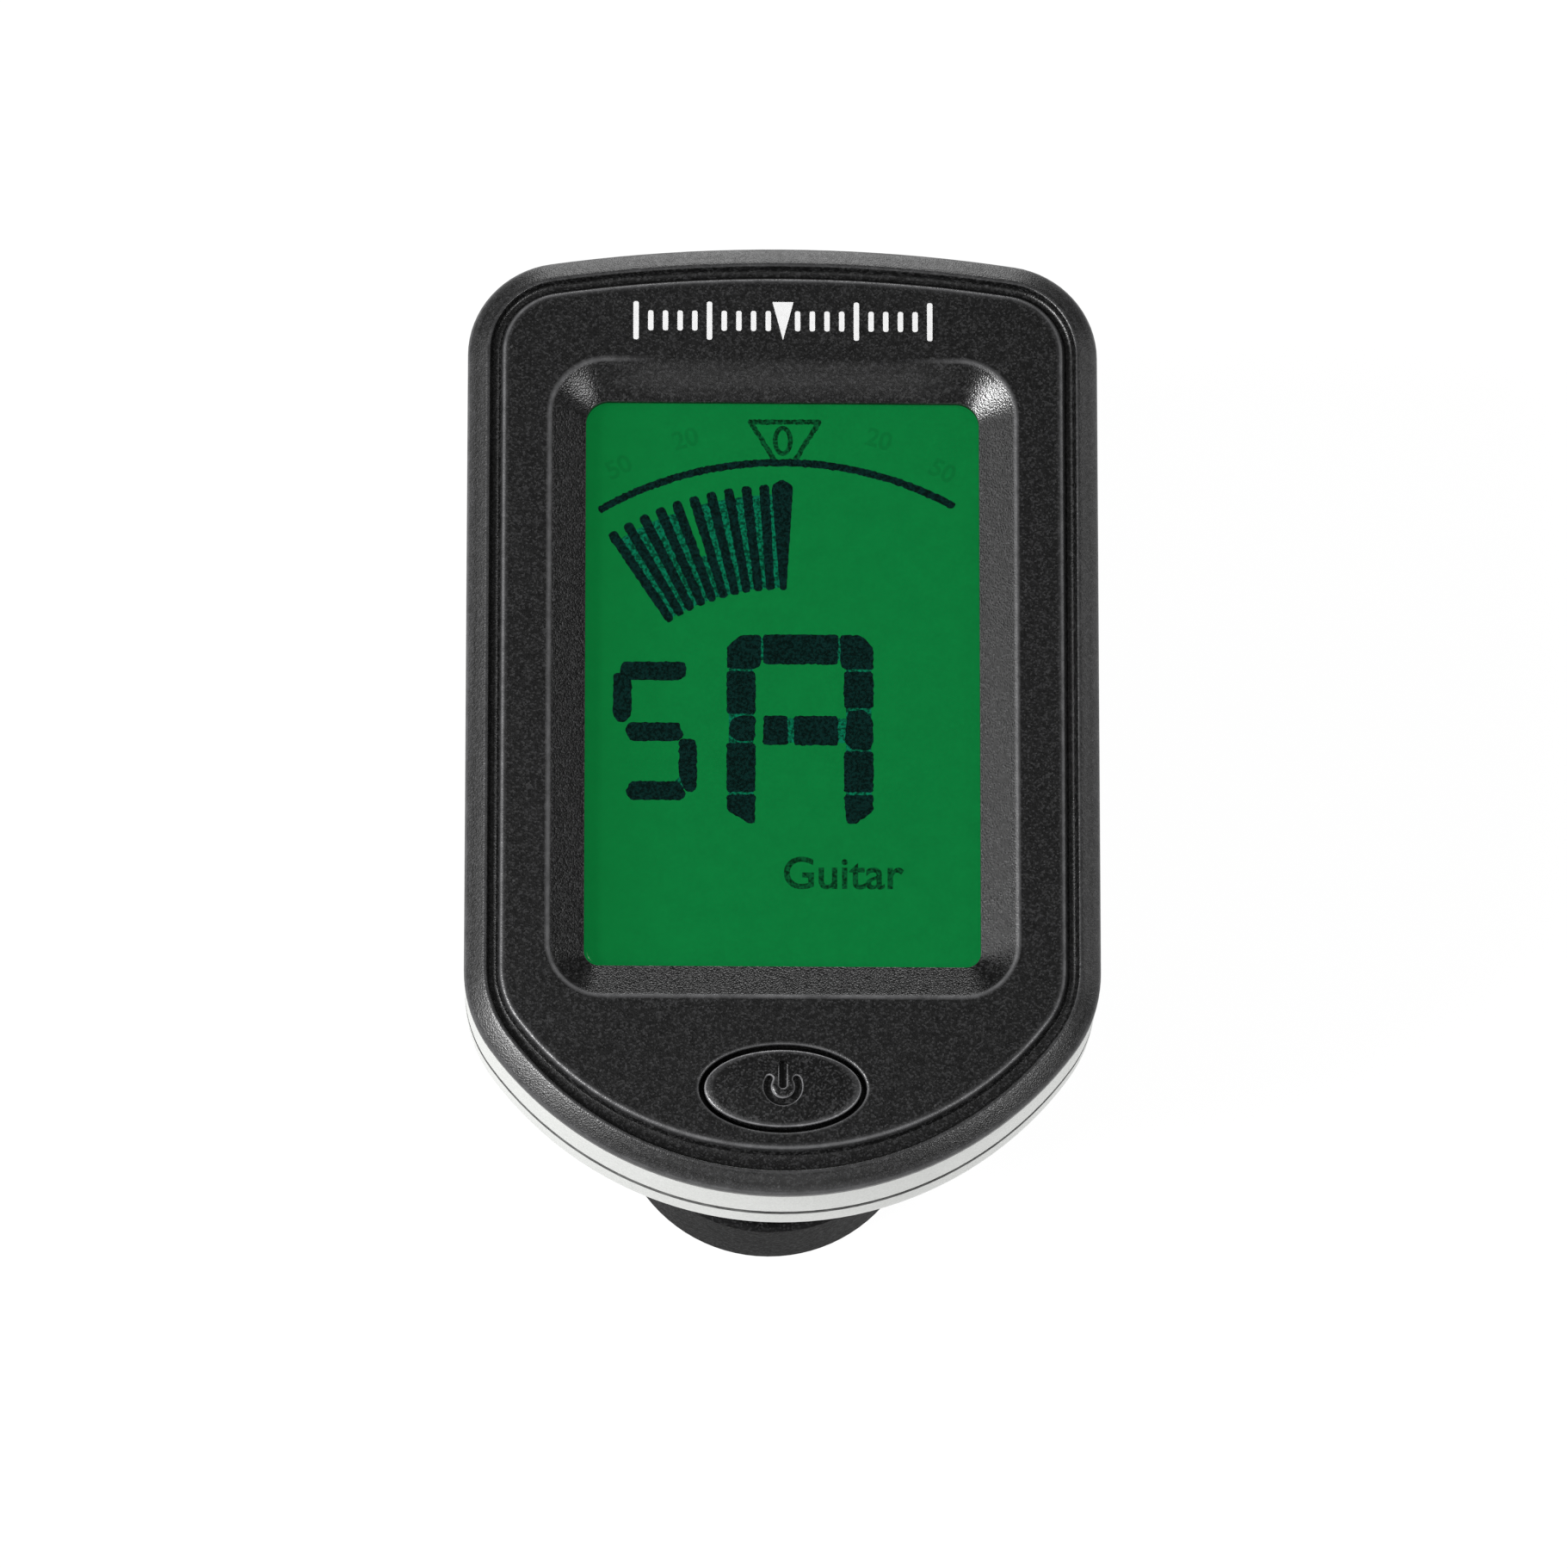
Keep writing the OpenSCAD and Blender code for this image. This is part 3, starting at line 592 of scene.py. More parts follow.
def build_front_cover():
    """The black front shell: edge band, groove, rim line, face, bezel and button hole."""
    bm = new_mesh()
    # The third values paint highlights: the band's lower roll, the lip crest and the rim line beside the
    # groove.
    edge = outline_rings(bm, [
        (2.50, 9.20, 0), (2.50, 7.60, 0), (1.70, 7.60, 0), (1.70, 9.20, 0), (0.10, 9.20, 0),
        (0.02, 9.23, 0.2),
        (0.00, 9.30, 0), (0.00, 9.58, 0), (0.02, 9.66, 0.5), (0.08, 9.74, 0.8), (0.14, 9.79, 0.3),
        (0.40, 9.96, 0), (0.70, 10.15, 0.1), (0.86, 10.245, 0), (0.93, 10.28, 0.3), (1.00, 10.28, 0.35),
        (1.05, 10.25, 0), (1.09, 10.18, 0), (1.12, 10.05, 0), (1.17, 9.93, 0), (1.27, 9.87, 0, 0.12),
        (1.38, 9.86, 0, 0.28), (1.48, 9.89, 0, 0.38), (1.57, 10.02, 0, 0.4), (1.65, 10.19, 0.3, 0.4),
        (1.70, 10.26, 1, 0.4), (1.77, 10.295, 1, 0.4), (1.85, 10.30, 0.2, 0.4), (1.98, 10.30, 0, 0.4)])
    loft(bm, edge)
    # Second values paint the highlight line along the opening's crisp outer edge and at the lip.
    slopes = [(-0.06, 0), (0.0, 0.6), (0.03, 1.0), (0.07, 0.8), (0.11, 0.1)]
    slopes += [(0.11 + 0.87 * i / 12, 0) for i in range(1, 13)]
    slopes += [(0.992, 0.5), (1.0, 0.2), (1.0, 0)]
    bezel = [bezel_ring(bm, slope, wear_sheen_and_shade) for slope, wear_sheen_and_shade in slopes]
    for ring, z in ((bezel[0], FACE), (bezel[-2], LIP_Z - 0.03), (bezel[-1], PLATE_Z)):
        for vert in ring:
            vert.co.z = z
    loft(bm, bezel)
    hole = []
    # The third values paint a highlight round the button hole's edge.
    for gap, z, wear_sheen_and_shade in ((0.17, FACE, 0), (0.10, FACE, 0.3), (0.05, FACE - 0.02, 0.9),
                         (0.01, FACE - 0.06, 0.6), (0.0, FACE - 0.14, 0), (0.0, PLATE_Z, 0)):
        points = oval(BUTTON_A + BUTTON_GAP + gap, BUTTON_B + BUTTON_GAP + gap, BUTTON_Y)
        hole.append(flat_ring(bm, points, z, wear_sheen_and_shade))
    loft(bm, hole)
    fill(bm, edge[-1], bezel[0], hole[0])
    fill(bm, edge[0], bezel[-1], hole[-1])
    place(make_object(bm, "front_shell"), "head", "black_shell", mat_black, "front_cover")


def build_button():
    """The oval power button: flange, straight wall, an edge with a painted highlight line, shallow dome,
    engraved symbol.
    """
    bm = new_mesh()
    rings = []
    # The third values paint the thin highlight line round the button's top edge.
    for grow, z, wear_sheen_and_shade in ((0.5, 8.54, 0), (0.5, 9.0, 0), (0.0, 9.04, 0), (0.0, 10.16, 0),
                          (-0.015, 10.25, 0.5), (-0.05, 10.29, 1.0), (-0.10, 10.31, 0.2)):
        rings.append(flat_ring(bm, oval(BUTTON_A + grow, BUTTON_B + grow, BUTTON_Y), BACK + z, wear_sheen_and_shade))
    for i in range(1, 12):
        scale = (1 - 0.04) * (1 - i / 12)
        z = 10.315 + 0.165 * (1 - scale**2)
        rings.append(flat_ring(bm, oval(BUTTON_A * scale, BUTTON_B * scale, BUTTON_Y), BACK + z))
    capped(bm, rings)
    obj = make_object(bm, "power_key")
    for tool in symbol_tools():
        cut(obj, tool)
    # Painted highlight on the symbol's edges.
    paint_symbol_highlights(obj)
    place(obj, "button", "button_plastic", mat_button, "power_button")


def paint_symbol_highlights(obj):
    """Paints highlights on the edges of the engraved symbol: they get full weight in the edge marks, which
    the button's material paints light.
    """
    bm = bmesh.new()
    bm.from_mesh(obj.data)
    layer = bm.verts.layers.float["wear_sheen_and_shade"]
    for vert in bm.verts:
        x, y, z = vert.co / MM
        if abs(x) < 1.1 and abs(y - BUTTON_Y) < 1.5 and abs(z - SYMBOL_EDGE) < 0.003:
            vert[layer] = 1.0
    bm.to_mesh(obj.data)
    bm.free()


def symbol_tools():
    """An open ring and a bar that engrave the power symbol; their mouths flare."""
    x, y = 0, BUTTON_Y + 0.06
    outer, inner, half_bar = 0.90, 0.58, 0.165
    start, end, middle = 150, 390, (outer + inner) / 2
    start_centre, end_centre = (arc((x, y), middle, a, a, 1)[0] for a in (start, end))
    ring, bar = new_mesh(), new_mesh()
    ring_rows, bar_rows = [], []
    for height, grow in ((SYMBOL_FLOOR, 0.0), (SYMBOL_EDGE - 0.05, 0.0), (SYMBOL_EDGE, 0.03),
                         (SYMBOL_EDGE + 0.03, 0.07), (SYMBOL_EDGE + 0.06, 0.11), (SYMBOL_EDGE + 0.3, 0.11)):
        half = (outer - inner) / 2 + grow
        points = arc((x, y), outer + grow, start, end, 48)
        points += arc(end_centre, half, end, end + 180, 8)[1:-1]
        points += arc((x, y), inner - grow, end, start, 40)
        points += arc(start_centre, half, start + 180, start + 360, 8)[1:-1]
        ring_rows.append(flat_ring(ring, points, height))
        reach = half_bar + grow
        points = rounded(-reach, reach, y - 0.06 - grow, y + 1.24 + grow, 0.12 + grow, 0.12 + grow, 6)
        bar_rows.append(flat_ring(bar, points, height))
    tools = []
    for bm, rows in ((ring, ring_rows), (bar, bar_rows)):
        capped(bm, rows)
        tools.append(make_object(bm, "symbol_tool", weighted=False))
    return tools


def build_mid_frame():
    """The silver band under the black edge, with the lip that locates the other shells."""
    bm = new_mesh()
    # The third values paint shade: under the black shell's edge and in the parting gap above the rear shell.
    rings = outline_rings(bm, [
        (0.14, 9.18, 0.3), (0.07, 9.15, 0), (0.05, 9.08, 0), (0.05, 7.6, 0), (0.05, 6.06, 0),
        (0.055, 6.0, 0), (0.06, 5.98, 1), (0.13, 5.92, 1), (0.22, 5.9, 1), (1.80, 5.9, 1), (1.85, 5.85, 0),
        (1.85, 4.5, 0), (1.92, 4.42, 0), (2.5, 4.42, 0), (2.6, 4.5, 0), (2.6, 7.42, 0),
        (2.52, 7.5, 0), (1.62, 7.5, 0), (1.6, 7.56, 0), (1.6, 9.12, 0), (1.66, 9.18, 0)])
    loft(bm, rings, closed=True)
    place(make_object(bm, "side_band"), "head", "silver_shell", mat_silver, "mid_frame")


def door_hole(r):
    """The battery door's opening, with three notches for the door's lugs."""
    points = []
    for a in range(0, 360, 2):
        off = min(abs((a - notch + 180) % 360 - 180) for notch in (60, 180, 300))
        reach = r + 0.55 if off < 7.5 else r
        points.append((reach * math.cos(math.radians(a)), CELL_Y + reach * math.sin(math.radians(a))))
    return points


def build_rear_cover():
    """The silver rear shell: rounded back, bores for the hub, the door and four screws."""
    bm = new_mesh()
    round_w, round_h = 3.0, 4.6
    # The third values paint shade on the top face in the parting gap.
    profile = [(1.8, 2.1, 0), (1.8, 5.55, 0), (1.72, 5.6, 1), (0.2, 5.6, 1), (0.1, 5.57, 1), (0.055, 5.5, 1),
               (0.05, 5.47, 0)]
    for i in range(1, 17):
        a = math.radians(90 * i / 16)
        profile.append((0.05 + (round_w - 0.05) * (1 - math.cos(a)), round_h * (1 - math.sin(a)), 0))
    outer = outline_rings(bm, profile)
    floor = outline_rings(bm, [(1.86, 1.8, 0), (2.05, 1.58, 0), (2.35, 1.5, 0)])
    loft(bm, [*reversed(floor), *outer])
    holes_out, holes_in = [], []
    bores = [(circle(0, SWIVEL_Y, 4.12, 64), circle(0, SWIVEL_Y, 4.0, 64)),
             (door_hole(DOOR_R + 0.16), door_hole(DOOR_R + 0.06))]
    # The ring values paint shade round the bores' mouths and walls.
    for wide, tight in bores:
        rings = [flat_ring(bm, wide, BACK, 0.1), flat_ring(bm, tight, BACK + 0.1, 0.5),
                 flat_ring(bm, tight, BACK + WALL)]
        loft(bm, rings)
        holes_out.append(rings[0])
        holes_in.append(rings[-1])
    # The ring values paint shade round the screw holes.
    for x, y in SCREWS:
        rings = []
        for r, z in ((1.5, 0), (1.44, 0.06), (1.44, 1.0), (0.85, 1.0), (0.85, 4.3), (1.62, 4.3),
                     (1.7, 4.22), (1.7, 1.7), (1.9, 1.5)):
            rings.append(flat_ring(bm, circle(x, y, r, 40), BACK + z, 0.1 if z < 0.05 else 0.5))
        loft(bm, rings)
        holes_out.append(rings[0])
        holes_in.append(rings[-1])
    fill(bm, outer[-1], *holes_out)
    fill(bm, floor[-1], *holes_in)
    place(make_object(bm, "rear_shell"), "head", "silver_shell", mat_silver, "rear_cover")


def build_battery_door():
    """The coin-slot battery door: chamfered disc, slot, rim round the cell and three lugs."""
    bm = new_mesh()
    profile = [(DOOR_R - 0.12, 0.03), (DOOR_R, 0.14), (DOOR_R, 1.5), (DOOR_R - 0.1, 1.6),
               (DOOR_R - 0.1, 1.94), (DOOR_R - 0.16, 2.0), (10.26, 2.0), (10.2, 1.94), (10.2, 1.5)]
    # The ring values paint shade on the door's walls, which sit in the gap round it.
    rings = []
    for r, z in profile:
        rings.append(flat_ring(bm, circle(0, CELL_Y, r, 120), BACK + z, 0.1 if z < 0.1 else 0.4))
    loft(bm, rings)
    # The ring values paint shade in the coin slot.
    slot = []
    for grow, z in ((0.12, 0.03), (0.02, 0.1), (0.0, 0.75), (-0.1, 0.82)):
        points = rounded(-6 - grow, 6 + grow, CELL_Y - 0.9 - grow, CELL_Y + 0.9 + grow, 0.88, 0.88, 8)
        slot.append(flat_ring(bm, points, BACK + z, 0.1 if z < 0.05 else 0.3))
    loft(bm, slot)
    mark = []
    for grow, z in ((0.04, 0.03), (0.0, 0.07), (0.0, 0.22)):
        mark.append(flat_ring(bm, circle(0, CELL_Y + 8.6, 0.6 + grow, 32), BACK + z))
    loft(bm, mark)
    fill(bm, slot[-1])
    fill(bm, mark[-1])
    fill(bm, rings[0], slot[0], mark[0])
    fill(bm, rings[-1])
    for a in (15, 135, 255):
        turn = Matrix.Translation((0, CELL_Y, 0)) @ Matrix.Rotation(math.radians(a), 4, "Z")
        points = rounded(DOOR_R - 0.3, DOOR_R + 0.4, -1.4, 1.4, 0.2, 0.2, 3)
        capped(bm, [add_ring(bm, [turn @ Vector((x, y, BACK + z)) for x, y in points]) for z in (1.58, 1.94)])
    place(make_object(bm, "coin_slot_door"), "door", "silver_shell", mat_silver, "battery_door")


# --- Display -------------------------------------------------------------------------


def flat_solid(bm, points, z, thickness):
    """A thin plate with the given outline."""
    capped(bm, [flat_ring(bm, points, height) for height in (z, z + thickness)])


def build_display():
    """The display glass: two fused sheets with the green polariser on top."""
    low, high = box_mm("lcd_panel")
    top = high.z - 0.04
    bm = new_mesh()
    sheets = [(low.y, low.z, low.z + 0.58), (low.y + 1.1, low.z + 0.6, top)]
    for y0, z0, z1 in sheets:
        rings = []
        for inset, z in ((0.05, z0), (0, z0 + 0.05), (0, z1 - 0.05), (0.05, z1)):
            points = rounded(low.x + inset, high.x - inset, y0 + inset, high.y - inset, 0.25, 0.25, 4)
            rings.append(flat_ring(bm, points, z))
        capped(bm, rings)
    place(make_object(bm, "display_glass"), "head", "lcd", mat_lcd, "lcd_panel")
    return top


def build_window():
    """The clear sheet bonded under the bezel, with a raised pane that fills the opening."""
    low, high = box_mm("display_window")
    bm = new_mesh()
    rings = []
    for inset, z in ((0.04, low.z), (0, low.z + 0.04), (0, PLATE_Z - 0.06), (0.04, PLATE_Z - 0.03)):
        points = rounded(low.x + inset, high.x - inset, low.y + inset, high.y - inset, 0.6, 0.6)
        rings.append(flat_ring(bm, points, z))
    for inset, z in ((0.08, PLATE_Z - 0.03), (0.08, LIP_Z - 0.12), (0.14, LIP_Z - 0.08)):
        points = rounded(inset - LCD_W / 2, LCD_W / 2 - inset, LCD_BOTTOM + inset, LCD_TOP - inset, 0.7, 1.1)
        rings.append(flat_ring(bm, points, z))
    capped(bm, rings)
    place(make_object(bm, "display_pane"), "head", "window", mat_window, "display_window")


def soft_shape(points, r, rough):
    """A closed outline with rounded corners and a slightly uneven edge, as a liquid crystal shows it."""
    smooth = []
    count = len(points)
    for i in range(count):
        here = Vector(points[i])
        before, after = Vector(points[i - 1]), Vector(points[(i + 1) % count])
        a = here + (before - here).normalized() * min(r, 0.46 * (before - here).length)
        b = here + (after - here).normalized() * min(r, 0.46 * (after - here).length)
        for t in (0, 0.25, 0.5, 0.75, 1):
            smooth.append(a * (1 - t) ** 2 + here * 2 * t * (1 - t) + b * t * t)
    fine = []
    for a, b in zip(smooth, smooth[1:] + smooth[:1]):
        parts = max(1, round((b - a).length / 0.11))
        fine += [a.lerp(b, k / parts) for k in range(parts)]
    uneven = []
    for i, p in enumerate(fine):
        along = (fine[(i + 1) % len(fine)] - fine[i - 1]).normalized()
        shift = rough * (field.noise((p.x * 5, p.y * 5, 0)) + 0.8 * field.noise((p.x * 13, p.y * 13, 3)))
        uneven.append((p.x + along.y * shift, p.y - along.x * shift))
    return uneven


def ribbon(points, width):
    """The outline of a ribbon along a line of points."""
    left, right = [], []
    for i, (x, y) in enumerate(points):
        before, after = points[max(i - 1, 0)], points[min(i + 1, len(points) - 1)]
        dx, dy = after[0] - before[0], after[1] - before[1]
        length = math.hypot(dx, dy)
        nx, ny = -dy / length * width / 2, dx / length * width / 2
        left.append((x + nx, y + ny))
        right.append((x - nx, y - ny))
    return left + right[::-1]


FAN_C = Vector((0.0, -3.07))
FAN_STEP = 3.32
FAN_IN, FAN_OUT = 9.62, 14.86


def on_fan(angle, r, off=0.0):
    """A point of the fan: an angle from straight up, a radius, and a shift to the side."""
    a = math.radians(angle)
    return FAN_C + Vector((math.sin(a), math.cos(a))) * r + Vector((math.cos(a), -math.sin(a))) * off


def box_shape(x0, x1, y0, y1):
    """A rectangle as a closed outline."""
    return [(x0, y0), (x1, y0), (x1, y1), (x0, y1)]


def print_shapes(bm, z, r, rough, *shapes):
    """Thin plates with rounded corners and uneven edges."""
    for shape in shapes:
        flat_solid(bm, soft_shape(shape, r, rough), z, PRINT_T)


# The display's seven-segment string number and its note letter
DIGIT = [[(-7.77, 2.2), (-7.5, 2.07), (-4.85, 2.07), (-4.53, 2.35), (-4.53, 2.75), (-4.7, 2.99),
          (-7.6, 2.99)],
         [(-8.03, 0.35), (-7.75, 0.0), (-7.4, 0.05), (-7.14, 0.4), (-7.14, 2.2), (-7.45, 2.42), (-8.0, 2.42)],
         [(-7.46, -0.4), (-7.15, -0.92), (-4.9, -0.92), (-4.66, -0.6), (-4.9, 0.0), (-7.3, 0.0)],
         [(-4.9, -2.6), (-4.6, -3.35), (-4.2, -3.42), (-4.03, -3.1), (-4.03, -1.1), (-4.2, -0.78),
          (-4.88, -0.8)],
         [(-7.42, -3.4), (-7.2, -3.8), (-4.7, -3.8), (-4.53, -3.5), (-4.9, -2.88), (-7.2, -2.88)]]
LEFT, RIGHT = (-2.63, -1.26), (2.93, 4.33)
NOTE = [box_shape(*LEFT, 0.44, 2.55), box_shape(*RIGHT, 0.76, 2.55), box_shape(*LEFT, -3.39, -0.98),
        box_shape(*RIGHT, -3.37, -1.36), box_shape(-0.89, 2.65, 2.90, 4.37),
        box_shape(-0.89, 0.28, -1.08, 0.37), box_shape(0.56, 2.66, -1.08, 0.37),
        [(-2.5, -0.6), (-2.1, -0.92), (-1.28, -0.88), (-1.26, 0.36), (-2.1, 0.34), (-2.52, 0.05)],
        [(2.95, -0.95), (3.4, -1.28), (4.2, -1.28), (4.33, -0.8), (4.3, 0.2), (3.9, 0.68), (3.1, 0.62)],
        [(-2.62, 2.66), (-1.3, 2.66), (-1.0, 2.85), (-0.99, 4.33), (-2.0, 4.33), (-2.62, 3.75)],
        [(2.95, 2.66), (4.33, 2.66), (4.33, 3.75), (3.75, 4.35), (2.76, 4.35), (2.76, 2.85)],
        [(-2.63, -3.5), (-1.26, -3.5), (-1.28, -4.92), (-1.6, -4.9), (-2.6, -4.3)],
        [(2.93, -3.5), (4.33, -3.5), (4.3, -4.3), (3.5, -4.92), (3.05, -4.9)]]


def build_segments(top):
    """What the display shows apart from its lettering: scale arc, zero mark, fan, string number and note."""
    low, high = top + 0.006, top + 0.012
    dark = new_mesh()
    fan = []
    for i in range(-10, 0):
        a = i * FAN_STEP
        fan.append([on_fan(a, FAN_IN, -0.205), on_fan(a, FAN_IN, 0.205),
                    on_fan(a, FAN_OUT, 0.24), on_fan(a, FAN_OUT, -0.24)])
    zero_bar = [on_fan(0.3, FAN_IN, -0.15), on_fan(0.3, FAN_IN, 0.16), on_fan(0.6, 14.6, 0.36),
                on_fan(0.6, 14.85, 0.30), on_fan(0.0, 15.12), on_fan(-0.6, 14.85, -0.30),
                on_fan(-0.6, 14.5, -0.34)]
    print_shapes(dark, high, 0.22, 0.04, *fan)
    print_shapes(dark, high, 0.12, 0.022, zero_bar)
    print_shapes(dark, high, 0.15, 0.045, ribbon(arc((0.0, -4.0), 16.87, 121.2, 60.9, 60), 0.36))
    print_shapes(dark, high, 0.16, 0.045, *DIGIT)
    print_shapes(dark, high, 0.17, 0.045, *NOTE)
    place(make_object(dark, "display_segments", weighted=False), "head", "lcd", mat_segment)
    half_lit = new_mesh()
    for i in range(10):
        a, b = (i - 10) * FAN_STEP, (i - 9) * FAN_STEP
        far = 11.9 if i == 4 else 14.35
        print_shapes(half_lit, low, 0.1, 0.03,
                     [on_fan(a, 9.75, 0.1), on_fan(b, 9.75, -0.1), on_fan(b, far, -0.1), on_fan(a, far, 0.1)])
    columns = [box_shape(x0 + 0.1, x1 - 0.1, -4.3, 3.6) for x0, x1 in (LEFT, RIGHT)]
    print_shapes(half_lit, low, 0.1, 0.022, *columns, box_shape(-1.4, 3.1, 3.1, 4.2),
                 box_shape(-0.5, 3.05, -0.95, 0.25), [(-5.0, -3.6), (-4.3, -2.9), (-4.6, -2.4), (-5.2, -3.0)])
    place(make_object(half_lit, "display_bleed", weighted=False), "head", "lcd", mat_bleed)
    mark = new_mesh()
    for (x0, y0), (x1, y1) in (((-1.62, 14.88), (1.86, 14.9)), ((-1.56, 14.95), (-0.36, 13.0)),
                               ((1.8, 14.95), (0.62, 13.0))):
        steps = [(x0 + (x1 - x0) * k / 8, y0 + (y1 - y0) * k / 8) for k in range(9)]
        print_shapes(mark, low, 0.08, 0.045, ribbon(steps, 0.24))
    rings = []
    for grow, z in ((0.115, 0.02), (0.115, 0.034), (-0.115, 0.034), (-0.115, 0.02)):
        points = [(x + 0.03, y) for x, y in oval(0.36 + grow, 0.63 + grow, 13.95, 48)]
        rings.append(flat_ring(mark, points, top + z))
    loft(mark, rings, closed=True)
    place(make_object(mark, "display_zero", weighted=False), "head", "lcd", mat_label)


def add_text(name, body, size, x, y, z, turn, material):
    """Flat lettering on the display, as a thin mesh."""
    curve = bpy.data.curves.new(name, "FONT")
    curve.body = body
    curve.size = size * MM
    curve.extrude = 0.006 * MM
    curve.offset = 0.028 * MM
    curve.resolution_u = 8
    text = bpy.data.objects.new(name + "_text", curve)
    scene.collection.objects.link(text)
    text.location = Vector((x, y, z)) * MM
    text.rotation_euler.z = math.radians(turn)
    bpy.context.view_layer.update()
    depsgraph = bpy.context.evaluated_depsgraph_get()
    mesh = bpy.data.meshes.new_from_object(text.evaluated_get(depsgraph))
    mesh.transform(text.matrix_world)
    bpy.data.objects.remove(text)
    label = bpy.data.objects.new(name, mesh)
    scene.collection.objects.link(label)
    place(label, "head", "lcd", material)


def build_label(top):
    """The mode word, a generic instrument name in a plain face, and the unlit cent numbers."""
    add_text("mode_label", "Guitar", 2.19, 0.0, -8.07, top + 0.02, 0, mat_label)
    for i, (body, x, y, turn) in enumerate((("20", -5.1, 13.45, 17), ("50", -8.15, 11.95, 28),
                                            ("20", 3.9, 13.85, -17), ("50", 6.9, 12.45, -28))):
        add_text(f"unlit_number_{i}", body, 1.25, x, y, top + 0.012, turn, mat_unlit)


def build_face_mark():
    """A generic printed mark above the display: a row of scale ticks with a pointer."""
    bm = new_mesh()
    z, middle, tall = FACE + 0.004, 19.4, 0.95
    for i in range(-10, 11):
        x, reach = i * 0.7, tall if i % 5 == 0 else 0.5
        if i:
            tick = rounded(x - 0.13, x + 0.13, middle - reach, middle + reach, 0.1, 0.1, 3)
            flat_solid(bm, tick, z, PRINT_T)
    flat_solid(bm, [(0, middle - tall), (0.5, middle + tall), (-0.5, middle + tall)], z, PRINT_T)
    place(make_object(bm, "face_mark", weighted=False), "head", "black_shell", mat_ink)


# --- Clamp, neck and spring ----------------------------------------------------------


def half_plan(plan, inset, rows, turns):
    """The right half of a plate's outline, from the tip to the far end, with points at the rows."""
    half, tip, end, r_tip, r_end = plan
    blunt = half - r_tip > 0.05
    points = [(0.0, tip + inset)]
    if blunt:
        points += [((half - r_tip) * i / 5, tip + inset) for i in range(1, 5)]
    points += arc((half - r_tip, tip + r_tip), r_tip - inset, -90, 0, turns[0])[0 if blunt else 1:]
    points += [(half - inset, y) for y in rows]
    points += arc((half - r_end, end - r_end), r_end - inset, 0, 90, turns[1])
    points += [((half - r_end) * (1 - i / 5), end - inset) for i in range(1, 6)]
    return points


def side_line(profile):
    """A side profile's height as a function of y, with its corners slightly rounded."""
    def height(y):
        total = 0.0
        for shift in (-0.2, -0.1, 0.0, 0.1, 0.2):
            at = min(max(y + shift, profile[0][0]), profile[-1][0])
            for (y0, z0), (y1, z1) in zip(profile, profile[1:]):
                if at <= y1:
                    total += z0 + (z1 - z0) * (at - y0) / (y1 - y0)
                    break
        return total / 5
    return height


def roll(soft, steps):
    """The inset, rise and edge-mark weight of each ring round a soft edge; steps holds (degrees, weight of
    rubbed wear and painted edge highlight).
    """
    for degrees, wear_sheen_and_shade in steps:
        a = math.radians(degrees)
        yield soft * (1 - math.cos(a)), soft * (1 - math.sin(a)), wear_sheen_and_shade


def plate(plan, low_at, high_at, soft, step, edge, turns, columns, low_relief=None, high_relief=None):
    """A plate with a rounded plan and soft edges; low_at and high_at give its faces' heights at y.

    The plan holds the half width, the tip, the far end and the corner radii of both. Rings have a point
    every step along the sides and turns steps round each corner; the faces have so many columns."""
    _, tip, end, r_tip, r_end = plan
    first, last = tip + r_tip, end - r_end
    count = max(2, round((last - first) / step))
    rows = [first + (last - first) * i / count for i in range(1, count)]
    bm = new_mesh()
    rings = []
    for height, sign, steps in ((low_at, 1, edge), (high_at, -1, edge[::-1])):
        for inset, rise, wear_sheen_and_shade in roll(soft, steps):
            right = half_plan(plan, inset, rows, turns)
            left = [(-x, y) for x, y in right[-2:0:-1]]
            rings.append(add_ring(bm, [(x, y, height(y) + sign * rise) for x, y in right + left], wear_sheen_and_shade))
    loft(bm, rings)
    face_grid(bm, rings[0], columns, low_relief)
    face_grid(bm, rings[-1], columns, high_relief)
    return bm


def face_grid(bm, ring, columns, relief):
    """Covers a ring that mirrors itself across X with rows of faces, raised by a relief."""
    half = len(ring) // 2
    lines = []
    for i in range(1, half):
        a, b = ring[-i], ring[i]
        line = [a]
        for k in range(1, columns):
            co = a.co.lerp(b.co, k / columns)
            if relief:
                co.z += relief(co.x, co.y)
            line.append(bm.verts.new(co))
        line.append(b)
        lines.append(line)
    for near, far in zip(lines, lines[1:]):
        for k in range(columns):
            bm.faces.new((near[k], near[k + 1], far[k + 1], far[k]))
    for tip, line in ((ring[0], lines[0]), (ring[half], lines[-1])):
        for k in range(columns):
            bm.faces.new((tip, line[k], line[k + 1]))


def ribs(start, pitch, count, half_w, height, width):
    """Rounded ribs across the clamp; a negative height makes grooves."""
    def relief(x, y):
        nearest = min(range(count), key=lambda i: abs(y - start - i * pitch))
        off = abs(y - start - nearest * pitch) / (width / 2)
        if off >= 1:
            return 0.0
        return height * math.sqrt(1 - off * off) * clamp((half_w - abs(x)) / 0.5)
    return relief


def inset_loop(outline, inset):
    """A closed loop of points moved inwards; the loop runs anticlockwise."""
    points = []
    count = len(outline)
    for i, (y, z) in enumerate(outline):
        before, after = outline[i - 1], outline[(i + 1) % count]
        dy, dz = after[0] - before[0], after[1] - before[1]
        length = math.hypot(dy, dz)
        points.append((y - dz / length * inset, z + dy / length * inset))
    return points


